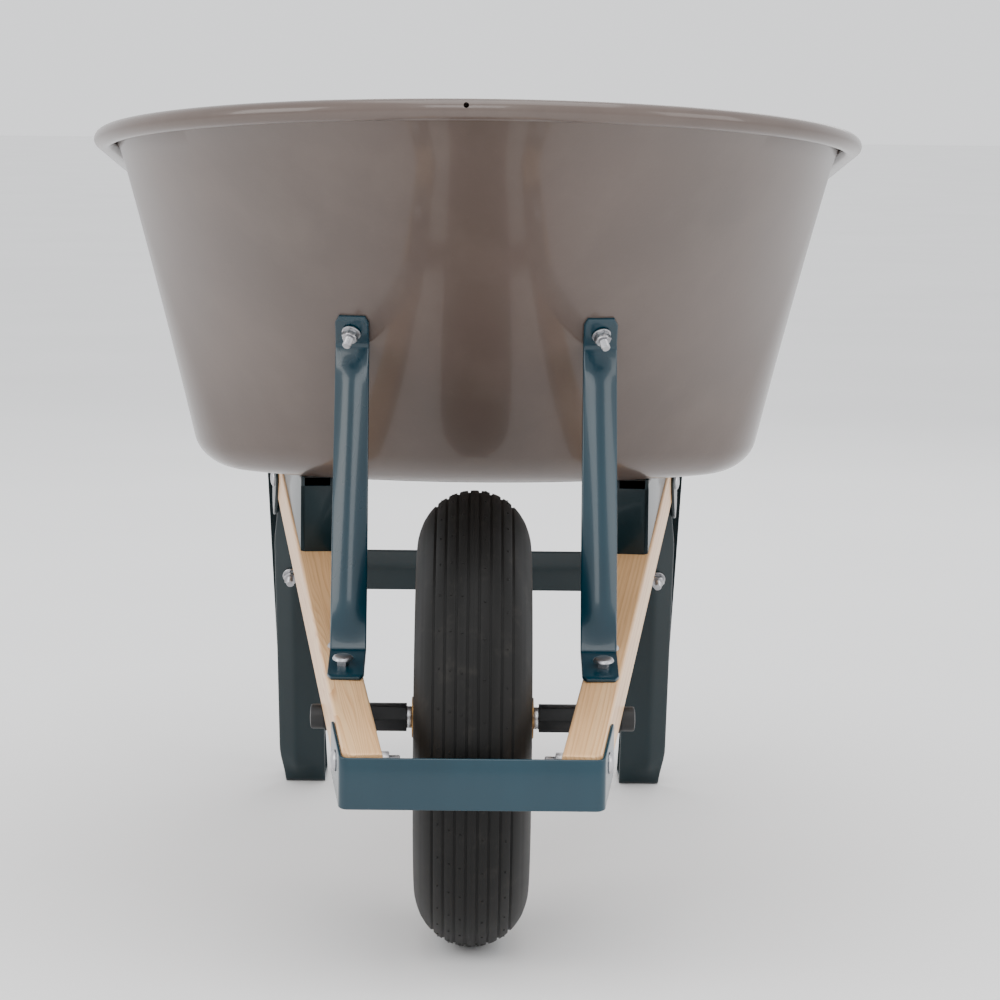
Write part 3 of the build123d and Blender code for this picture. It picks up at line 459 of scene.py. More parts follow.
def seat_copies(name, part, seats, finish):
    """Copies of a small part at seats, made by Geometry Nodes and realised as one plain mesh.

    Each seat is its place in millimetres and its turn as a matrix.
    """
    tree = bpy.data.node_groups.new(name, "GeometryNodeTree")
    tree.interface.new_socket("Seats", in_out="INPUT", socket_type="NodeSocketGeometry")
    tree.interface.new_socket("Part", in_out="INPUT", socket_type="NodeSocketObject")
    size = tree.interface.new_socket("Size", in_out="INPUT", socket_type="NodeSocketFloat")
    tree.interface.new_socket("Copies", in_out="OUTPUT", socket_type="NodeSocketGeometry")
    given = tree.nodes.new("NodeGroupInput")
    turn = tree.nodes.new("GeometryNodeInputNamedAttribute")
    turn.data_type = "FLOAT_VECTOR"
    turn.inputs["Name"].default_value = "turn"
    source = tree.nodes.new("GeometryNodeObjectInfo")
    copies = tree.nodes.new("GeometryNodeInstanceOnPoints")
    real = tree.nodes.new("GeometryNodeRealizeInstances")
    painted = tree.nodes.new("GeometryNodeSetMaterial")
    painted.inputs["Material"].default_value = finishes[finish]
    result = tree.nodes.new("NodeGroupOutput")
    link = tree.links.new
    link(given.outputs["Seats"], copies.inputs["Points"])
    link(given.outputs["Part"], source.inputs["Object"])
    link(source.outputs["Geometry"], copies.inputs["Instance"])
    link(turn.outputs["Attribute"], copies.inputs["Rotation"])
    link(given.outputs["Size"], copies.inputs["Scale"])
    link(copies.outputs["Instances"], real.inputs["Geometry"])
    link(real.outputs["Geometry"], painted.inputs["Geometry"])
    link(painted.outputs["Geometry"], result.inputs["Copies"])

    holder = placed(name + "_part", part)
    points = bpy.data.meshes.new(name + "_seats")
    points.from_pydata([point(*place) for place, matrix in seats], [], [])
    turns = points.attributes.new("turn", "FLOAT_VECTOR", "POINT")
    for item, (place, matrix) in zip(turns.data, seats):
        item.vector = matrix.to_euler()
    carrier = placed(name + "_carrier", points)
    modifier = carrier.modifiers.new("copies", "NODES")
    modifier.node_group = tree
    for socket in tree.interface.items_tree:
        if socket.name == "Part":
            modifier[socket.identifier] = holder
    modifier[size.identifier] = 0.001
    evaluated = carrier.evaluated_get(bpy.context.evaluated_depsgraph_get())
    mesh = bpy.data.meshes.new_from_object(evaluated)
    bpy.data.objects.remove(carrier)
    bpy.data.objects.remove(holder)
    bpy.data.node_groups.remove(tree)
    return mesh


def facing(z_axis, x_axis=None):
    """Turn that takes Z to an axis, and X near a second one."""
    z_axis = Vector(z_axis).normalized()
    x_axis = Vector(x_axis or (1, 0, 0))
    y_axis = z_axis.cross(x_axis).normalized()
    return Matrix((y_axis.cross(z_axis), y_axis, z_axis)).transposed()


def spun_part(profile, segments):
    """A small part turned about its own Z from (radius, height) points, in millimetres."""
    mesh = bpy.data.meshes.new("part")
    work = bmesh.new()
    rows = []
    for radius, height in profile:
        if radius == 0:
            rows.append([work.verts.new((0, 0, height))] * segments)
            continue
        turns = [2 * pi * step / segments for step in range(segments)]
        rows.append([work.verts.new((radius * cos(t), radius * sin(t), height)) for t in turns])
    for low, high in zip(rows, rows[1:]):
        for step in range(segments):
            beside = (step + 1) % segments
            corners = []
            for vertex in (low[step], low[beside], high[beside], high[step]):
                if vertex not in corners:
                    corners.append(vertex)
            if len(corners) > 2:
                work.faces.new(corners)
    bmesh.ops.recalc_face_normals(work, faces=work.faces)
    work.to_mesh(mesh)
    work.free()
    return mesh


# ---- wheel ----

section_radius = 148.0
crown_half_width = 50.0
crown_height = 52.0
rib_pitch = 9.5
rib_count = 9
groove_half_width = 1.0
groove_depth = 1.8


def crown(x):
    return section_radius + crown_height * sqrt(1 - (x / crown_half_width) ** 2)


def tread_half():
    """Section of the tread from its middle out to the shoulder, with rounded ribs."""
    profile = []
    for rib in range((rib_count + 1) // 2):
        middle = rib * rib_pitch
        steps = (-3.65, -3.4, -2.6, -1.3, 0, 1.3, 2.6, 3.4, 3.65) if rib else (0, 1.3, 2.6, 3.4, 3.65)
        for across in steps:
            rounding = 0.75 * (abs(across) / (rib_pitch / 2)) ** 4
            profile.append((middle + across, crown(middle + across) - rounding))
        if rib < rib_count // 2:
            groove = middle + rib_pitch / 2
            for across in (-groove_half_width, 0, groove_half_width):
                profile.append((groove + across, crown(groove) - groove_depth))
    return profile


def tyre_half_section():
    """From the middle of the tread round the shoulder and bead to the middle of the inside."""
    profile = tread_half()
    for x in (43.2, 44.6, 45.9, 47.0, 47.9, 48.6, 49.2, 49.7, 49.95):
        step = 0.5 if 45.0 < x < 48.8 else 0.0
        profile.append((x, crown(x) - step))
    sides = [(50.0, 148), (49.9, 142), (49.4, 136), (48.6, 131), (48.6, 130.2), (47.4, 126)]
    sides += [(47.9, 125.4), (47.5, 124.4), (46.5, 123.6), (44.6, 119), (41.6, 115.2), (39.5, 113)]
    profile += sides
    profile += [(39.5, 104), (38.4, 102), (34.5, 101.8), (32.5, 103.5), (34, 110), (38, 122)]
    profile += [(43.0, 135), (44.5, 148)]
    profile += [(44.5 * cos(radians(t)), 148 + 43 * sin(radians(t))) for t in range(15, 91, 15)]
    return profile


def both_halves(half):
    """A closed section from its right half, which starts and ends on the centre line."""
    return half + [(-x, r) for x, r in reversed(half[1:-1])]


half = tyre_half_section()
half[-1] = (0.0, half[-1][1])
tyre_mesh = turned_mesh("tyre_casing", both_halves(half), 160)


def vent_seats():
    """Seats of the moulding pips, along the middles of some of the ribs."""
    seats = []
    for rib in (-3, -2, -1, 1, 3):
        for step in range(36):
            turn = 2 * pi * (step + 0.08 * rib) / 36
            x = rib * rib_pitch
            spoke = Vector((0, cos(turn), sin(turn)))
            place = Vector((x, 0, tyre_radius)) + spoke * (crown(x) - 0.1)
            seats.append((place, facing(spoke)))
    return seats


pip = spun_part([(1.15, 0), (1.0, 0.6), (0, 0.8)], 8)
vents = seat_copies("tread_vents", pip, vent_seats(), "tyre_rubber")
parting = [(-0.35, crown(0) - 0.4), (-0.2, crown(0) + 0.1), (0.2, crown(0) + 0.1), (0.35, crown(0) - 0.4)]
parting_line = turned_mesh("parting_line", parting, 160)
piece("tyre_and_tread", joined("tyre_and_tread", [tyre_mesh, vents, parting_line]), "tyre_rubber", "wheel",
      ["tyre"], smooth=45)


def ribbon(path, thickness):
    """Closed outline of a sheet of a thickness about a flat path."""
    left = []
    right = []
    for number, here in enumerate(path):
        before = Vector(path[max(number - 1, 0)])
        after = Vector(path[min(number + 1, len(path) - 1)])
        run = (after - before).normalized()
        across = Vector((-run.y, run.x)) * (thickness / 2)
        left.append(tuple(Vector(here) + across))
        right.append(tuple(Vector(here) - across))
    return left + right[::-1]


def rim_half(side):
    """A pressed rim half: dished disc, bolting web, well, bead seat and curled flange."""
    corners = [(23.15, 17.4), (1.3, 56), (1.3, 88), (17.6, 91), (26, 99.6), (40.9, 100.4), (40.9, 107.5)]
    corners += [(45.0, 112.6)]
    path = rounded_path(corners, (14, 4, 4, 5, 4, 4), 4)
    section = [(side * x, r) for x, r in ribbon(path, 2.2)]
    return turned_mesh("rim_half", section, 128)


for name, side in (("right", 1), ("left", -1)):
    piece(f"rim_disc_{name}", rim_half(side), "rim_paint", "wheel", [f"rim_{name}"], smooth=50)


def softened(node, width, slot, body, finish=None, inset=0.0):
    """A piece in the shape of a frame node, with its edges eased.

    Inset draws the face that is flush with the handle's outer side in from it.
    """
    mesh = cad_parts[node].data.copy()
    work = bmesh.new()
    work.from_mesh(mesh)
    for vertex in work.verts:
        side = 1 if vertex.co.x > 0 else -1
        outward = Vector((side * rail_out.x, rail_out.y, 0))
        corner = point(side * handle_nose.x, handle_nose.y, handle_nose.z)
        if inset and (vertex.co - corner).dot(outward) > -0.001:
            vertex.co -= outward * inset / 1000
    bmesh.ops.remove_doubles(work, verts=work.verts, dist=0.000005)
    bmesh.ops.dissolve_limit(work, angle_limit=radians(0.5), verts=work.verts, edges=work.edges)
    work.to_mesh(mesh)
    work.free()
    return piece(f"{node}_eased", eased(mesh, width), slot, body, [node], finish, smooth=30)


riser_inset = 6.0
softened("hub", 1.2, "rim_paint", "wheel")
softened("bush_right", 0.5, "bush_bronze", "wheel")
softened("bush_left", 0.5, "bush_bronze", "wheel")
softened("axle_spacers", 0.5, "zinc_steel", "root")
softened("right_axle_block", 1.1, "black_plastic", "root")
softened("left_axle_block", 1.1, "black_plastic", "root")
# The risers take the darker teal, which is painted shade.
softened("right_riser", 0.7, "teal_paint", "root", "shaded_teal", riser_inset)
softened("left_riser", 0.7, "teal_paint", "root", "shaded_teal", riser_inset)


def axle_caps():
    """Black caps pushed over the axle's ends against the blocks, hiding the washers and pins."""
    profile = [(130.1, 0.0), (130.1, 10.4), (130.6, 10.9), (140.5, 10.9)]
    profile += [(141.4 + 1.6 * sin(radians(t)), 10.9 * cos(radians(t))) for t in (20, 45, 70, 90)]
    right = turned_mesh("axle_cap", profile, 48, closed=False)
    return joined("axle_caps", [right, flipped(right)])


piece("axle_end_caps", axle_caps(), "black_plastic", "root", ["axle_end_washers", "split_pins"])

# ---- handles ----

grip_start = handle_length - 150
neck_radius = 13.5
grip_radius = 16.0
grip_end_radius = 16.0


def turned_radius(run):
    """Radius that the lathe leaves at a distance down the handle, where it meets the bar."""
    if run < grip_start - 4:
        return 40.0
    if run < grip_start + 3:
        return neck_radius + (grip_start + 3 - run) * 2.2
    if run < grip_start + 45:
        share = (run - grip_start - 3) / 42
        return neck_radius + (grip_radius - neck_radius) * share * share * (3 - 2 * share)
    if run < handle_length - grip_end_radius:
        return grip_radius
    past = run - (handle_length - grip_end_radius)
    return grip_radius * sqrt(max(0.0, 1 - (past / grip_end_radius) ** 2))


def bar_outline(edge_radius=2.6, steps=4):
    """Cross-section of the bar about its middle: a rectangle with eased corners."""
    outline = []
    for corner, (x, z) in enumerate(((1, 1), (-1, 1), (-1, -1), (1, -1))):
        centre = (x * (handle_width / 2 - edge_radius), z * (handle_depth / 2 - edge_radius))
        outline += arc(centre, edge_radius, 90 * corner, 90 * corner + 90, steps)
        start = Vector(outline[-1])
        quarter = ((-1, 1), (-1, -1), (1, -1), (1, 1))[corner]
        end = Vector((quarter[0] * (handle_width / 2 - (edge_radius if corner % 2 == 0 else 0)),
                      quarter[1] * (handle_depth / 2 - (0 if corner % 2 == 0 else edge_radius))))
        outline += [tuple(start.lerp(end, share / 8)) for share in range(1, 8)]
    return outline


def handle_mesh():
    """The right handle from its bevelled nose to its round grip."""
    bar = bar_outline()
    middle = handle_nose - rail_out * (handle_width / 2) - rail_up * (handle_depth / 2)
    runs = [0.0, 1.2, 6.0] + [40.0 * step for step in range(1, 34)]
    runs += [grip_start - 10 + 1.5 * step for step in range(11)]
    runs += [grip_start + 8 + 4.0 * step for step in range(10)] + [handle_length - 60, handle_length - 30]
    runs += [handle_length - grip_end_radius * (1 - sin(radians(turn))) for turn in range(0, 90, 10)]
    rings = []
    for run in sorted(runs):
        limit = turned_radius(run)
        nose_limit = handle_width / 2 - 6.0 + run if run < 6.0 else handle_width
        ease = 0.6 if run == 0 else 0.0
        ring = []
        for across, up in bar:
            reach = hypot(across, up)
            share = min(1.0, limit / reach)
            wide = min(across * share, nose_limit)
            tall = up * share * (1 - ease / 21)
            ring.append(middle + rail_along * run + rail_out * wide + rail_up * tall)
        rings.append(ring)
    return rings_mesh("handle", rings)


pair("handle", handle_mesh(), "ash_wood", "handle", smooth=32, left_finish="ash_wood_left")

# ---- wheel guard ----

guard_height = 43.0
guard_top = 207.0
guard_bend = 5.0
guard_flange = 78.0


def guard_mesh():
    """The bent strip across the handles' noses, with flanges down their outer faces."""
    slope = rail_along.z / rail_along.y
    half = 105.75 + sheet / 2
    nose = handle_nose.y - sheet / 2
    end = Vector((half + guard_flange * sin(splay), nose + guard_flange * cos(splay)))
    corners = [(-end.x, end.y), (-half, nose), (half, nose), (end.x, end.y)]
    path = rounded_path(corners, (guard_bend + 1.5, guard_bend + 1.5), 7)
    dense = []
    for here, after in zip(path, path[1:]):
        steps = max(1, round((after - here).length / 12))
        dense += [here.lerp(after, step / steps) for step in range(steps)]
    dense.append(path[-1])
    rings = []
    for number, here in enumerate(dense):
        run = (dense[min(number + 1, len(dense) - 1)] - dense[max(number - 1, 0)]).normalized()
        out = Vector((run.y, -run.x))
        top = guard_top + (here.y - handle_nose.y) * slope
        ring = []
        for side, height in ((1, 0), (1, 1), (-1, 1), (-1, 0)):
            edge = here + out * side * sheet / 2
            ring.append((edge.x, edge.y, top - guard_height * (1 - height)))
        rings.append(ring)
    return eased(rings_mesh("guard", rings), 1.0, 3)


piece("nose_guard", guard_mesh(), "teal_paint", "root", ["wheel_guard"])

# ---- tray ----

rim_pitch = radians(6.0)
floor_pitch = radians(2.3)
rim_nose = Vector((0, -166.0, 742.0))
floor_nose = Vector((0, 205.0, 380.6))
rim_overhang = 19.0
floor_half_span = 264.0
rim_half_span = 347.0
floor_shoulder = 130.0
rim_shoulder = 316.0
floor_length = 475.0
rim_length = 966.0
floor_corner = 80.0
floor_tail_corner = 90.0
rim_corner = 150.0
bead_radius = 9.0
foot_inset = 34.0
foot_height = 32.0


def blend(low, high, share):
    return low + (high - low) * share


def on_arc(x, y, radius, turn):
    return (x + radius * cos(turn), y + radius * sin(turn))


def tray_ring(share, inset, lift=0.0):
    """Points round the tray's plan at a share of its height, lifted square to that level."""
    tilt = blend(-floor_pitch, rim_pitch, share)
    back = Vector((0, cos(tilt), -sin(tilt)))
    up = Vector((0, sin(tilt), cos(tilt)))
    half_span = blend(floor_half_span, rim_half_span - rim_overhang, share)
    nose = blend(0.0, rim_overhang, share)
    shoulder = blend(floor_shoulder / cos(floor_pitch), rim_shoulder / cos(rim_pitch), share)
    tail = blend(floor_length / cos(floor_pitch), rim_length / cos(rim_pitch) - rim_overhang, share)
    corner_radius = blend(floor_corner, rim_corner - rim_overhang, share)
    tail_radius = blend(floor_tail_corner, rim_corner - rim_overhang, share)
    depth = shoulder - nose
    spare = half_span - corner_radius
    bow_radius = (spare**2 + depth**2 - corner_radius**2) / (2 * (depth - corner_radius))
    lean = atan2(depth - bow_radius, spare)
    right = []
    for step in range(36):
        turn = blend(-pi / 2, lean, step / 36)
        right.append(on_arc(0.0, nose + bow_radius, bow_radius - inset, turn))
    for step in range(10):
        turn = blend(lean, 0, step / 10)
        right.append(on_arc(spare, shoulder, corner_radius - inset, turn))
    straight = tail - tail_radius - shoulder
    right += [(half_span - inset, shoulder + straight * step / 12) for step in range(12)]
    for step in range(12):
        turn = pi / 2 * step / 12
        right.append(on_arc(half_span - tail_radius, tail - tail_radius, tail_radius - inset, turn))
    width = half_span - tail_radius
    right += [(width * (1 - step / 10), tail - inset) for step in range(11)]
    outline = right + [(-x, y) for x, y in reversed(right[1:-1])]
    origin = floor_nose.lerp(rim_nose, share)
    return [origin + Vector((x, 0, 0)) + back * y + up * lift for x, y in outline]


tray_depth = rim_nose.z - floor_nose.z
foot_turns = [radians(90 * step / 10) for step in range(11)]
wall_shares = [step / 14 for step in range(1, 14)]


def wall_levels(inset, lift):
    """Rings of one skin from the floor's edge up to just below the rim's bend."""
    rings = []
    for turn in foot_turns:
        height = foot_height * (1 - cos(turn)) + lift * cos(turn)
        rings.append(tray_ring(height / tray_depth, inset + foot_inset * (1 - sin(turn))))
    foot_share = foot_height / tray_depth
    rings += [tray_ring(blend(foot_share, 0.978, share), inset) for share in wall_shares]
    return rings


def floor_levels(lift):
    """Rings that close the floor towards its middle."""
    share = lift / tray_depth
    return [tray_ring(share, foot_inset + spread) for spread in (26.0, 12.0)]


def rim_section(offset):
    """Inset and height of a skin of the rolled rim, from the bend over the wall out and round."""
    bend = 5.0
    skin = arc((-bend, -bend - tray_sheet), bend + offset, 0, 90, 5)
    bead_middle = (-rim_overhang + bead_radius, -bead_radius)
    bead = arc(bead_middle, bead_radius - tray_sheet + offset, 90, 385, 30)
    return skin + bead


def tray_mesh():
    """One sheet: outer skin up to the rolled rim's end, and the inner skin back down."""
    outer = wall_levels(0.0, 0.0)
    inner = wall_levels(tray_sheet, tray_sheet)
    top = [tray_ring(1.0, inset, lift) for inset, lift in rim_section(tray_sheet)]
    under = [tray_ring(1.0, inset, lift) for inset, lift in rim_section(0.0)]
    rings = floor_levels(0.0) + outer + under + top[::-1] + inner[::-1] + floor_levels(tray_sheet)[::-1]
    return rings_mesh("tray", rings)


def drilled(mesh, place, direction, radius, depth):
    """The mesh with a round hole cut into it."""
    cutter = bpy.data.meshes.new("cutter")
    work = bmesh.new()
    bmesh.ops.create_cone(work, cap_ends=True, segments=24, radius1=radius / 1000, radius2=radius / 1000,
                          depth=depth / 1000)
    turn = facing(direction).to_4x4()
    work.transform(Matrix.Translation(point(*place)) @ turn)
    work.to_mesh(cutter)
    work.free()
    tool = placed("cutter", cutter)
    settings = {"operation": "DIFFERENCE", "object": tool, "solver": "EXACT"}
    drilled_mesh = with_modifiers(mesh, ("BOOLEAN", settings))
    bpy.data.objects.remove(tool)
    return drilled_mesh


tray_shape = tray_mesh()
wall_finder = BVHTree.FromPolygons(
    [v.co for v in tray_shape.vertices], [list(p.vertices) for p in tray_shape.polygons]
)
tray_shape = drilled(tray_shape, (-10.0, -166.0, 735.5), (0, -1, 0), 2.3, 12.0)
piece("tray_shell", tray_shape, "tray_enamel", "root", ["tray"], smooth=40)

# ---- pressed strips ----


def smooth_step(share):
    share = min(1.0, max(0.0, share))
    return share * share * (3 - 2 * share)


def pressed_strip(name, stations, crest=0.09):
    """A ridged strip through stations of (centre, across, normal, left, right, ridge, ridge place).

    The ridge stands out along the normal, and the sheet's thickness lies behind its face.
    Crest is how round the ridge's top is.
    """
    rings = []
    for centre, across, normal, left, right, ridge, ridge_place in stations:
        front = []
        for step in range(21):
            u = left + (right - left) * step / 20
            side = (u - ridge_place) / ((right if u > ridge_place else left) - ridge_place)
            height = ridge * (hypot(1, crest) - hypot(side, crest)) / (hypot(1, crest) - crest)
            front.append(centre + across * u + normal * height)
        back = [place - normal * sheet for place in front]
        rings.append(front + back[::-1])
    return eased(rings_mesh(name, rings), 0.9, 2, 60)


def path_frames(path, spacing):
    """Evenly spaced places along a path in side elevation, each with its direction."""
    frames = []
    for here, after in zip(path, path[1:]):
        length = (after - here).length
        steps = max(1, round(length / spacing))
        frames += [here.lerp(after, step / steps) for step in range(steps)]
    frames.append(path[-1])
    runs = []
    for number in range(len(frames)):
        before = frames[max(number - 1, 0)]
        after = frames[min(number + 1, len(frames) - 1)]
        runs.append((after - before).normalized())
    return list(zip(frames, runs))


block_grip = handle_depth + 12.0
bolt_lead = block_grip * sin(rise) * cos(splay) + handle_width / 2 * sin(splay)
brace_bolt_y = -bolt_lead - 23.0
brace_x = 110.0
brace_foot_x = 126.0
brace_tab_half = 19.0


def handle_top_z(x, y):
    run = Vector((x, y, 0)) - Vector((handle_nose.x, handle_nose.y, 0))
    return handle_nose.z - (run.x * rail_up.x + run.y * rail_up.y) / rail_up.z


wall_place, wall_normal = wall_finder.ray_cast(point(brace_x, -500.0, 536.0), Vector((0, 1, 0)))[:2]
wall_place = wall_place * 1000 - Vector((0, axle_y, 0))
if wall_normal.y > 0:
    wall_normal = -wall_normal
across_wall = Vector((0, 0, 1)).cross(wall_normal).normalized()
up_wall = wall_normal.cross(across_wall)


def front_brace():
    """The right brace: foot on the handle, ridged web, and a tab flat against the tray."""
    foot_start = Vector((brace_bolt_y - 27.0, handle_top_z(brace_foot_x, brace_bolt_y - 27.0) + 0.1))
    foot_bend = Vector((brace_bolt_y + 40.0, handle_top_z(brace_foot_x, brace_bolt_y + 40.0) + 0.1))
    tab_low = wall_place - up_wall * brace_tab_half + wall_normal * 0.2
    tab_high = wall_place + up_wall * brace_tab_half + wall_normal * 0.2
    corners = [foot_start, foot_bend, Vector((tab_low.y, tab_low.z)), Vector((tab_high.y, tab_high.z))]
    path = rounded_path(corners, (7.0, 9.0), 5)
    frames = path_frames(path, 8.0)
    total = sum((after[0] - here[0]).length for here, after in zip(frames, frames[1:]))
    foot_run = (foot_bend - foot_start).length
    tab_run = total - 2 * brace_tab_half
    stations = []
    run = 0.0
    for number, (place, heading) in enumerate(frames):
        if number:
            run += (place - frames[number - 1][0]).length
        turn = smooth_step((run - foot_run) / (tab_run - foot_run))
        across = Vector((1, 0, 0)).lerp(across_wall, turn).normalized()
        normal = Vector((0, -heading.y, heading.x))
        normal = (normal - across * normal.dot(across)).normalized()
        ridge = 5.0 * smooth_step((run - foot_run - 12) / 26) * smooth_step((tab_run - 6 - run) / 26)
        end = min(run, total - run)
        half = 16.0 - 3.5 * (1 - smooth_step(end / 5))
        centre = Vector((brace_x + turn * (wall_place.x - brace_x), place.x, place.y))
        stations.append((centre + normal * sheet, across, normal, -half, half, ridge, 0.0))
    return pressed_strip("front_brace", stations, crest=0.8)


pair("brace", front_brace(), "teal_paint", "front_brace", smooth=28)

# ---- legs ----

leg_middle = 184.5
leg_half_width = 24.5
front_foot_y = 711.0
back_foot_y = 778.0
front_ear_y = 550.0
back_ear_y = 868.0
ear_drop = 45.0
front_ear_tuck = 1.0
back_ear_tuck = 12.0
leg_tuck = handle_point(front_ear_y, 0).x - leg_middle
front_top = handle_point(front_ear_y, leg_tuck, -handle_depth / 2)
back_top = handle_point(back_ear_y, leg_tuck, -handle_depth / 2)
back_top.x -= 11.0
underside_origin = handle_nose - rail_up * handle_depth


def meets_underside(foot, top, spare=5.0):
    """Where a strut from the ground reaches the handle's underside, and a little past it."""
    strut = top - foot
    share = (underside_origin - foot).dot(rail_up) / strut.dot(rail_up)
    return foot + strut * share + strut.normalized() * spare


def leg_strip():
    """One strip bent into both struts and the foot between them."""
    front_foot = Vector((leg_middle, front_foot_y, 0.0))
    back_foot = Vector((leg_middle, back_foot_y, 0.0))
    low_front = meets_underside(front_foot, Vector((leg_middle, front_top.y, front_top.z)))
    low_back = meets_underside(back_foot, back_top)
    feet = [(front_foot_y, 0.0), (back_foot_y, 0.0)]
    corners = [(low_front.y, low_front.z), *feet, (low_back.y, low_back.z)]
    path = rounded_path([Vector(corner) for corner in corners], (9.0, 9.0), 6)
    stations = []
    for place, heading in path_frames(path, 9.0):
        y, z = place
        share = min(1.0, z / low_back.z) * (1 if y > 760 else 0)
        centre_x = leg_middle + (low_back.x - leg_middle) * share
        normal = Vector((0, heading.y, -heading.x))
        ridge = 9.0 * smooth_step((z - 4) / 28)
        top_z = low_front.z if y < 744 else low_back.z
        ridge *= 1 - 0.55 * smooth_step((z - top_z + 60) / 40)
        outer = leg_half_width - 6.0 * (1 - smooth_step(z / 42)) - 3.5 * smooth_step((z - top_z + 60) / 40)
        centre = Vector((centre_x, y, z))
        stations.append((centre, Vector((1, 0, 0)), normal, -leg_half_width, outer, ridge, 5.5))
    return pressed_strip("leg_strip", stations)


def ear_mesh(top_y, strut, tuck):
    """The flat ear up the handle's outer face, tapering down to its strut.

    Its lower end bends in by the tuck to meet the strut's edge.
    """
    lean = strut.y / strut.z
    low = handle_point(top_y - lean * (ear_drop + handle_depth / 2), -0.1, -handle_depth - ear_drop)
    high = handle_point(top_y + lean * (handle_depth / 2 - 6), -0.1, -6.0)
    along = (high - low).normalized()
    across = rail_out.cross(along)
    length = (high - low).length
    outline = arc((length - 7.0, 13.0), 7.0, 0, 90, 5)
    outline += [(length - 40, 20.0), (52.0, 19.0), (40.0, 17.0), (31.0, 12.0), (27.0, 6.0)]
    outline += [(x, -y) for x, y in reversed(outline)]
    bend = 52.0
    face = []
    for x, y in outline:
        inward = tuck * max(0.0, 1 - x / bend)
        face.append(low + along * x + across * y - rail_out * inward)
    return eased(rings_mesh("ear", [face, [place + rail_out * sheet for place in face]]), 0.8, 2)


front_strut = Vector((0, front_top.y - front_foot_y, front_top.z))
back_foot = Vector((leg_middle, back_foot_y, 0.0))
back_strut = handle_point(back_ear_y, leg_tuck, -handle_depth / 2) - back_foot
front_ear = ear_mesh(front_ear_y, front_strut, front_ear_tuck)
back_ear = ear_mesh(back_ear_y, back_strut, back_ear_tuck)
leg = joined("leg", [leg_strip(), front_ear, back_ear])
# The legs take the darker teal, which is painted shade.
pair("leg", leg, "teal_paint", "leg", "shaded_teal", 28)

cross_half_length = 201.0
cross_height = 246.0
cross_bolt_x = 192.0
strut_up = front_strut.normalized()
strut_rear = strut_up.cross(Vector((1, 0, 0)))
cross_face = Vector((0, front_foot_y, 0)) + strut_up * (cross_height / strut_up.z) + strut_rear * (sheet + 0.1)


def cross_brace():
    """The folded bar between the legs, with flat bolted ends."""
    stations = []
    for step in range(68):
        x = cross_half_length * (step / 33.5 - 1)
        ridge = 8.0 * smooth_step((156.0 - abs(x)) / 14)
        half = 24.0 - 4.0 * (1 - smooth_step((cross_half_length - abs(x)) / 6))
        centre = cross_face + Vector((x, 0, 0)) + strut_rear * sheet
        stations.append((centre, -strut_up, strut_rear, -half, half, ridge, 0.0))
    return pressed_strip("cross_brace", stations)


# The cross bar takes the darker teal, which is painted shade.
piece("cross_bar", cross_brace(), "teal_paint", "root", ["leg_cross_brace"], "shaded_teal", 28)

# ---- fasteners ----

nut_flats = 13.0
nut_height = 6.6
washer_radius = 8.6
washer_thickness = 1.6
seat_gap = 0.05
thread_pitch = 1.25
neck_side = 8.0
neck_depth = 5.2
neck_shown = 4.5

dome = [(8.2, 0.0), (9.1, 0.35), (9.2, 0.9), (8.9, 1.3)]
dome += [(9.2 * cos(radians(t)), 1.1 + 3.1 * sin(radians(t))) for t in (25, 40, 55, 70, 82)] + [(0, 4.2)]
head_part = spun_part([(0, 0)] + dome, 32)


def threaded_end(tail):
    """The bolt's threaded end, from its washer to so far below its nut."""
    nut_low = -washer_thickness - nut_height
    profile = [(0, nut_low - tail), (3.2, nut_low - tail)]
    level = nut_low - tail + 0.8
    while level < nut_low + 0.3:
        profile += [(3.95, level), (3.5, level + thread_pitch / 2)]
        level += thread_pitch
    profile.append((3.5, -washer_thickness))
    profile.append((0, -washer_thickness))
    return spun_part(profile, 24)


def washer():
    profile = [(4.2, 0), (washer_radius - 0.3, 0), (washer_radius, -0.3), (washer_radius, -1.3)]
    profile += [(washer_radius - 0.3, -washer_thickness), (4.2, -washer_thickness), (4.2, 0)]
    return merged(spun_part(profile, 32))


def merged(mesh):
    work = bmesh.new()
    work.from_mesh(mesh)
    bmesh.ops.remove_doubles(work, verts=work.verts, dist=0.0001)
    bmesh.ops.recalc_face_normals(work, faces=work.faces)
    work.to_mesh(mesh)
    work.free()
    return mesh


def hexagon_part(low, high):
    """A hexagon between two heights, its corners turned off top and bottom."""
    rows = []
    corner = nut_flats / 2 / cos(pi / 6)
    turned = nut_flats / 2 - 0.1
    work = bmesh.new()
    for height, limit in ((low, turned), (low + 0.6, corner), (high - 0.6, corner), (high, turned)):
        row = []
        for step in range(24):
            turn = 2 * pi * step / 24
            flat = nut_flats / 2 / cos((turn + pi / 6) % (pi / 3) - pi / 6)
            reach = min(flat, limit)
            row.append(work.verts.new((reach * cos(turn), reach * sin(turn), height)))
        rows.append(row)
    for below, above in zip(rows, rows[1:]):
        for step in range(24):
            beside = (step + 1) % 24
            work.faces.new((below[step], below[beside], above[beside], above[step]))
    work.faces.new(rows[0])
    work.faces.new(rows[-1])
    bmesh.ops.recalc_face_normals(work, faces=work.faces)
    mesh = bpy.data.meshes.new("hexagon")
    work.to_mesh(mesh)
    work.free()
    return mesh


def nut_on_washer(name, tail):
    """A nut on its washer, with so much of the bolt's thread below it."""
    nut = hexagon_part(-washer_thickness - nut_height, -washer_thickness)
    return joined(name, [nut, washer(), threaded_end(tail)])


nut_part = nut_on_washer("nut_part", 9.0)
neck_work = bmesh.new()
neck_size = Matrix.Diagonal((neck_side, neck_side, neck_depth, 1))
neck_shape = Matrix.Translation((0, 0, -neck_depth / 2)) @ neck_size
bmesh.ops.create_cube(neck_work, size=1.0, matrix=neck_shape)
neck_part = bpy.data.meshes.new("neck_part")
neck_work.to_mesh(neck_part)
neck_work.free()


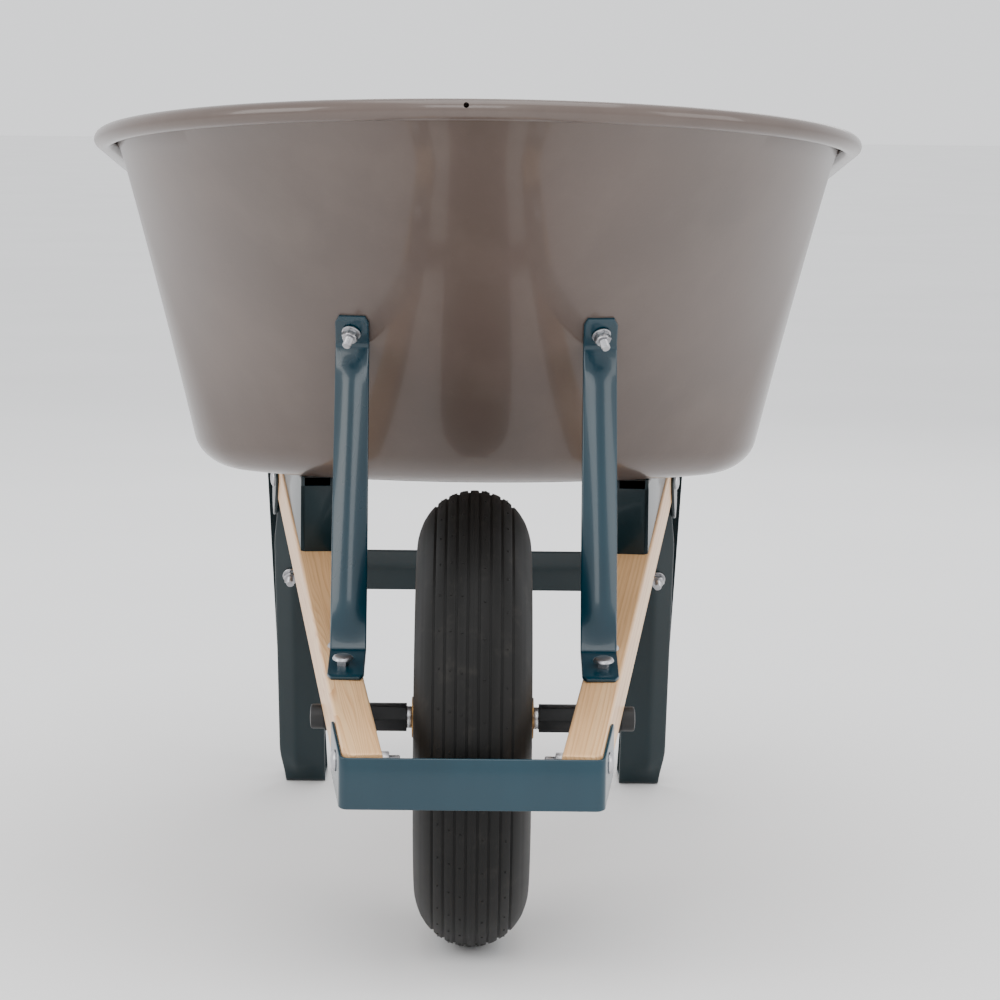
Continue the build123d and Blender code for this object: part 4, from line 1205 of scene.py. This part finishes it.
def grip_to_underside(place, axis):
    return (place - underside_origin).dot(rail_up) / axis.dot(rail_up)


floor_normal = Vector((0, -sin(floor_pitch), cos(floor_pitch)))


def tray_seat(y):
    over = handle_point(y, handle_width / 2)
    height = floor_nose.z + (over.y - floor_nose.y) * tan(floor_pitch)
    return Vector((over.x, over.y, height + (tray_sheet + seat_gap) / cos(floor_pitch)))


side_grip = handle_width + sheet + 3 * seat_gap
front_seat = handle_point(brace_bolt_y, handle_width / 2, sheet + 1.0 + neck_shown)
rear_seat = handle_point(28.0 - bolt_lead, handle_width / 2, seat_gap)
outer_gap = -sheet - 2 * seat_gap
front_tray = tray_seat(300.0)
rear_tray = tray_seat(585.0)
tilt_gap = washer_radius * tan(radians(9.4)) + 0.3
cross_bolt = cross_face + Vector((cross_bolt_x, 0, 0)) + strut_rear * (sheet + seat_gap)

# Name, seat, axis out of the head, grip, and extra gap under the washer where the faces tilt.
bolt_rows = [
    ("guard", handle_point(-195.0, outer_gap, -18.0), rail_out, side_grip, 0.0),
    ("front_block", front_seat, rail_up, block_grip + sheet + 1.05 + neck_shown, 0.0),
    ("rear_block", rear_seat, rail_up, block_grip + 3 * seat_gap, 0.0),
    ("tray_front", front_tray, floor_normal, grip_to_underside(front_tray, floor_normal), tilt_gap),
    ("tray_rear", rear_tray, floor_normal, grip_to_underside(rear_tray, floor_normal), tilt_gap),
    ("leg", handle_point(front_ear_y, outer_gap, -handle_depth / 2), rail_out, side_grip, 0.0),
    ("leg", handle_point(back_ear_y, outer_gap, -handle_depth / 2), rail_out, side_grip, 0.0),
    ("brace_top", wall_place - wall_normal * 2.0, -wall_normal, tray_sheet + sheet + 1.2, 0.0),
    ("cross_brace", cross_bolt, strut_rear, 2 * sheet + 9.2, 0.0),
]


def on_both_sides(place, axis, twist):
    """The seat and its mirror image, each as a place and a turn."""
    seats = []
    for side in (1, -1):
        seat = Vector((side * place.x, place.y, place.z))
        turned = Matrix.Rotation(side * twist, 3, "Z")
        seats.append((seat, facing((side * axis.x, axis.y, axis.z), (0.3, 1, 0.1)) @ turned))
    return seats


head_seats = []
nut_seats = []
neck_seats = []
for number, (name, place, axis, grip, gap) in enumerate(bolt_rows):
    twist = 0.37 * number
    head_seats += on_both_sides(place, axis, twist)
    nut_seats += on_both_sides(place - axis * (grip + gap + seat_gap), axis, twist)
    if name == "front_block":
        neck_seats += on_both_sides(place, axis, 0.0)

bolt_names = list(dict.fromkeys(row[0] for row in bolt_rows))
heads = [
    seat_copies("bolt_heads", head_part, head_seats, "zinc_steel"),
    seat_copies("bolt_necks", neck_part, neck_seats, "zinc_steel"),
]
piece("carriage_bolt_heads", joined("carriage_bolt_heads", heads), "zinc_steel", "root",
      [f"{name}_bolts" for name in bolt_names], smooth=50)
nuts = seat_copies("nuts", nut_part, nut_seats, "zinc_steel")
piece("nuts_and_washers", nuts, "zinc_steel", "root", [f"{name}_nuts" for name in bolt_names], smooth=35)

rim_head = hexagon_part(0.0, 5.3)
rim_nut = nut_on_washer("rim_nut", 3.0)
rim_heads = []
rim_nuts = []
for step in range(4):
    turn = 2 * pi * step / 4 + 0.7
    spoke = Vector((0, cos(turn), sin(turn)))
    place = Vector((2.3, 0, tyre_radius)) + spoke * 74.0
    rim_heads.append((place, facing((1, 0, 0), spoke)))
    rim_nuts.append((place - Vector((4.65, 0, 0)), facing((1, 0, 0), spoke)))
piece("rim_bolt_heads", seat_copies("rim_heads", rim_head, rim_heads, "zinc_steel"), "zinc_steel", "wheel",
      ["rim_bolts"], smooth=35)
piece("rim_nuts_and_washers", seat_copies("rim_nuts", rim_nut, rim_nuts, "zinc_steel"), "zinc_steel", "wheel",
      ["rim_nuts"], smooth=35)

for node, finish in (
    ("axle", "zinc_steel"),
    ("grease_fitting", "zinc_steel"),
    ("inner_tube", "tube_rubber"),
    ("valve_stem", "tube_rubber"),
    ("valve_cap", "black_plastic"),
):
    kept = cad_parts[node]
    kept.data.materials.clear()
    kept.data.materials.append(finishes[finish])

# ---- floor, light and camera ----

floor_mesh = bpy.data.meshes.new("floor")
reach = 60.0
floor_mesh.from_pydata([(-reach, -reach, 0), (reach, -reach, 0), (reach, reach, 0), (-reach, reach, 0)], [],
                       [(0, 1, 2, 3)])
floor_mesh.materials.append(finishes["floor"])
ground = placed("floor", floor_mesh)

world = bpy.data.worlds.new("studio")
bpy.context.scene.world = world
world.use_nodes = True
backdrop = world.node_tree.nodes["Background"]
backdrop.inputs["Color"].default_value = (0.97, 0.98, 1.0, 1.0)
backdrop.inputs["Strength"].default_value = 1.35


def soft_light(name, place, target, size, power, colour=(1.0, 1.0, 1.0)):
    """A square soft box at a place in metres, turned to its target."""
    data = bpy.data.lights.new(name, "AREA")
    data.shape = "SQUARE"
    data.size = size
    data.energy = power
    data.color = colour
    lamp = placed(name, data)
    lamp.location = place
    lamp.rotation_euler = (Vector(target) - Vector(place)).to_track_quat("-Z", "Y").to_euler()


soft_light("top_light", (0.2, -0.9, 3.4), (0, -0.1, 0.3), 2.4, 45)
soft_light("front_light", (-0.2, -3.4, 2.3), (0, -0.6, 0.3), 1.3, 22)
soft_light("left_light", (-2.8, -1.9, 1.7), (0, -0.2, 0.4), 1.6, 34, (1.0, 0.97, 0.93))
soft_light("right_light", (2.9, -1.6, 1.5), (0, -0.2, 0.4), 1.6, 22, (1.0, 0.97, 0.94))
soft_light("rear_light", (0.6, 3.2, 2.4), (0, 0, 0.4), 2.2, 25)

camera_data = bpy.data.cameras.new("camera")
camera_data.sensor_width = 36.0
camera_data.lens = 124.5
camera_data.clip_end = 100.0
camera = placed("camera", camera_data)
bpy.context.scene.camera = camera
camera_down = radians(6.60)
camera_yaw = radians(-0.42)
camera_roll = radians(0.6)
camera.location = point(0, -3000.0, 740.0)
camera.rotation_euler = (
    Matrix.Rotation(camera_yaw, 3, "Z")
    @ Matrix.Rotation(pi / 2 - camera_down, 3, "X")
    @ Matrix.Rotation(camera_roll, 3, "Z")
).to_euler()
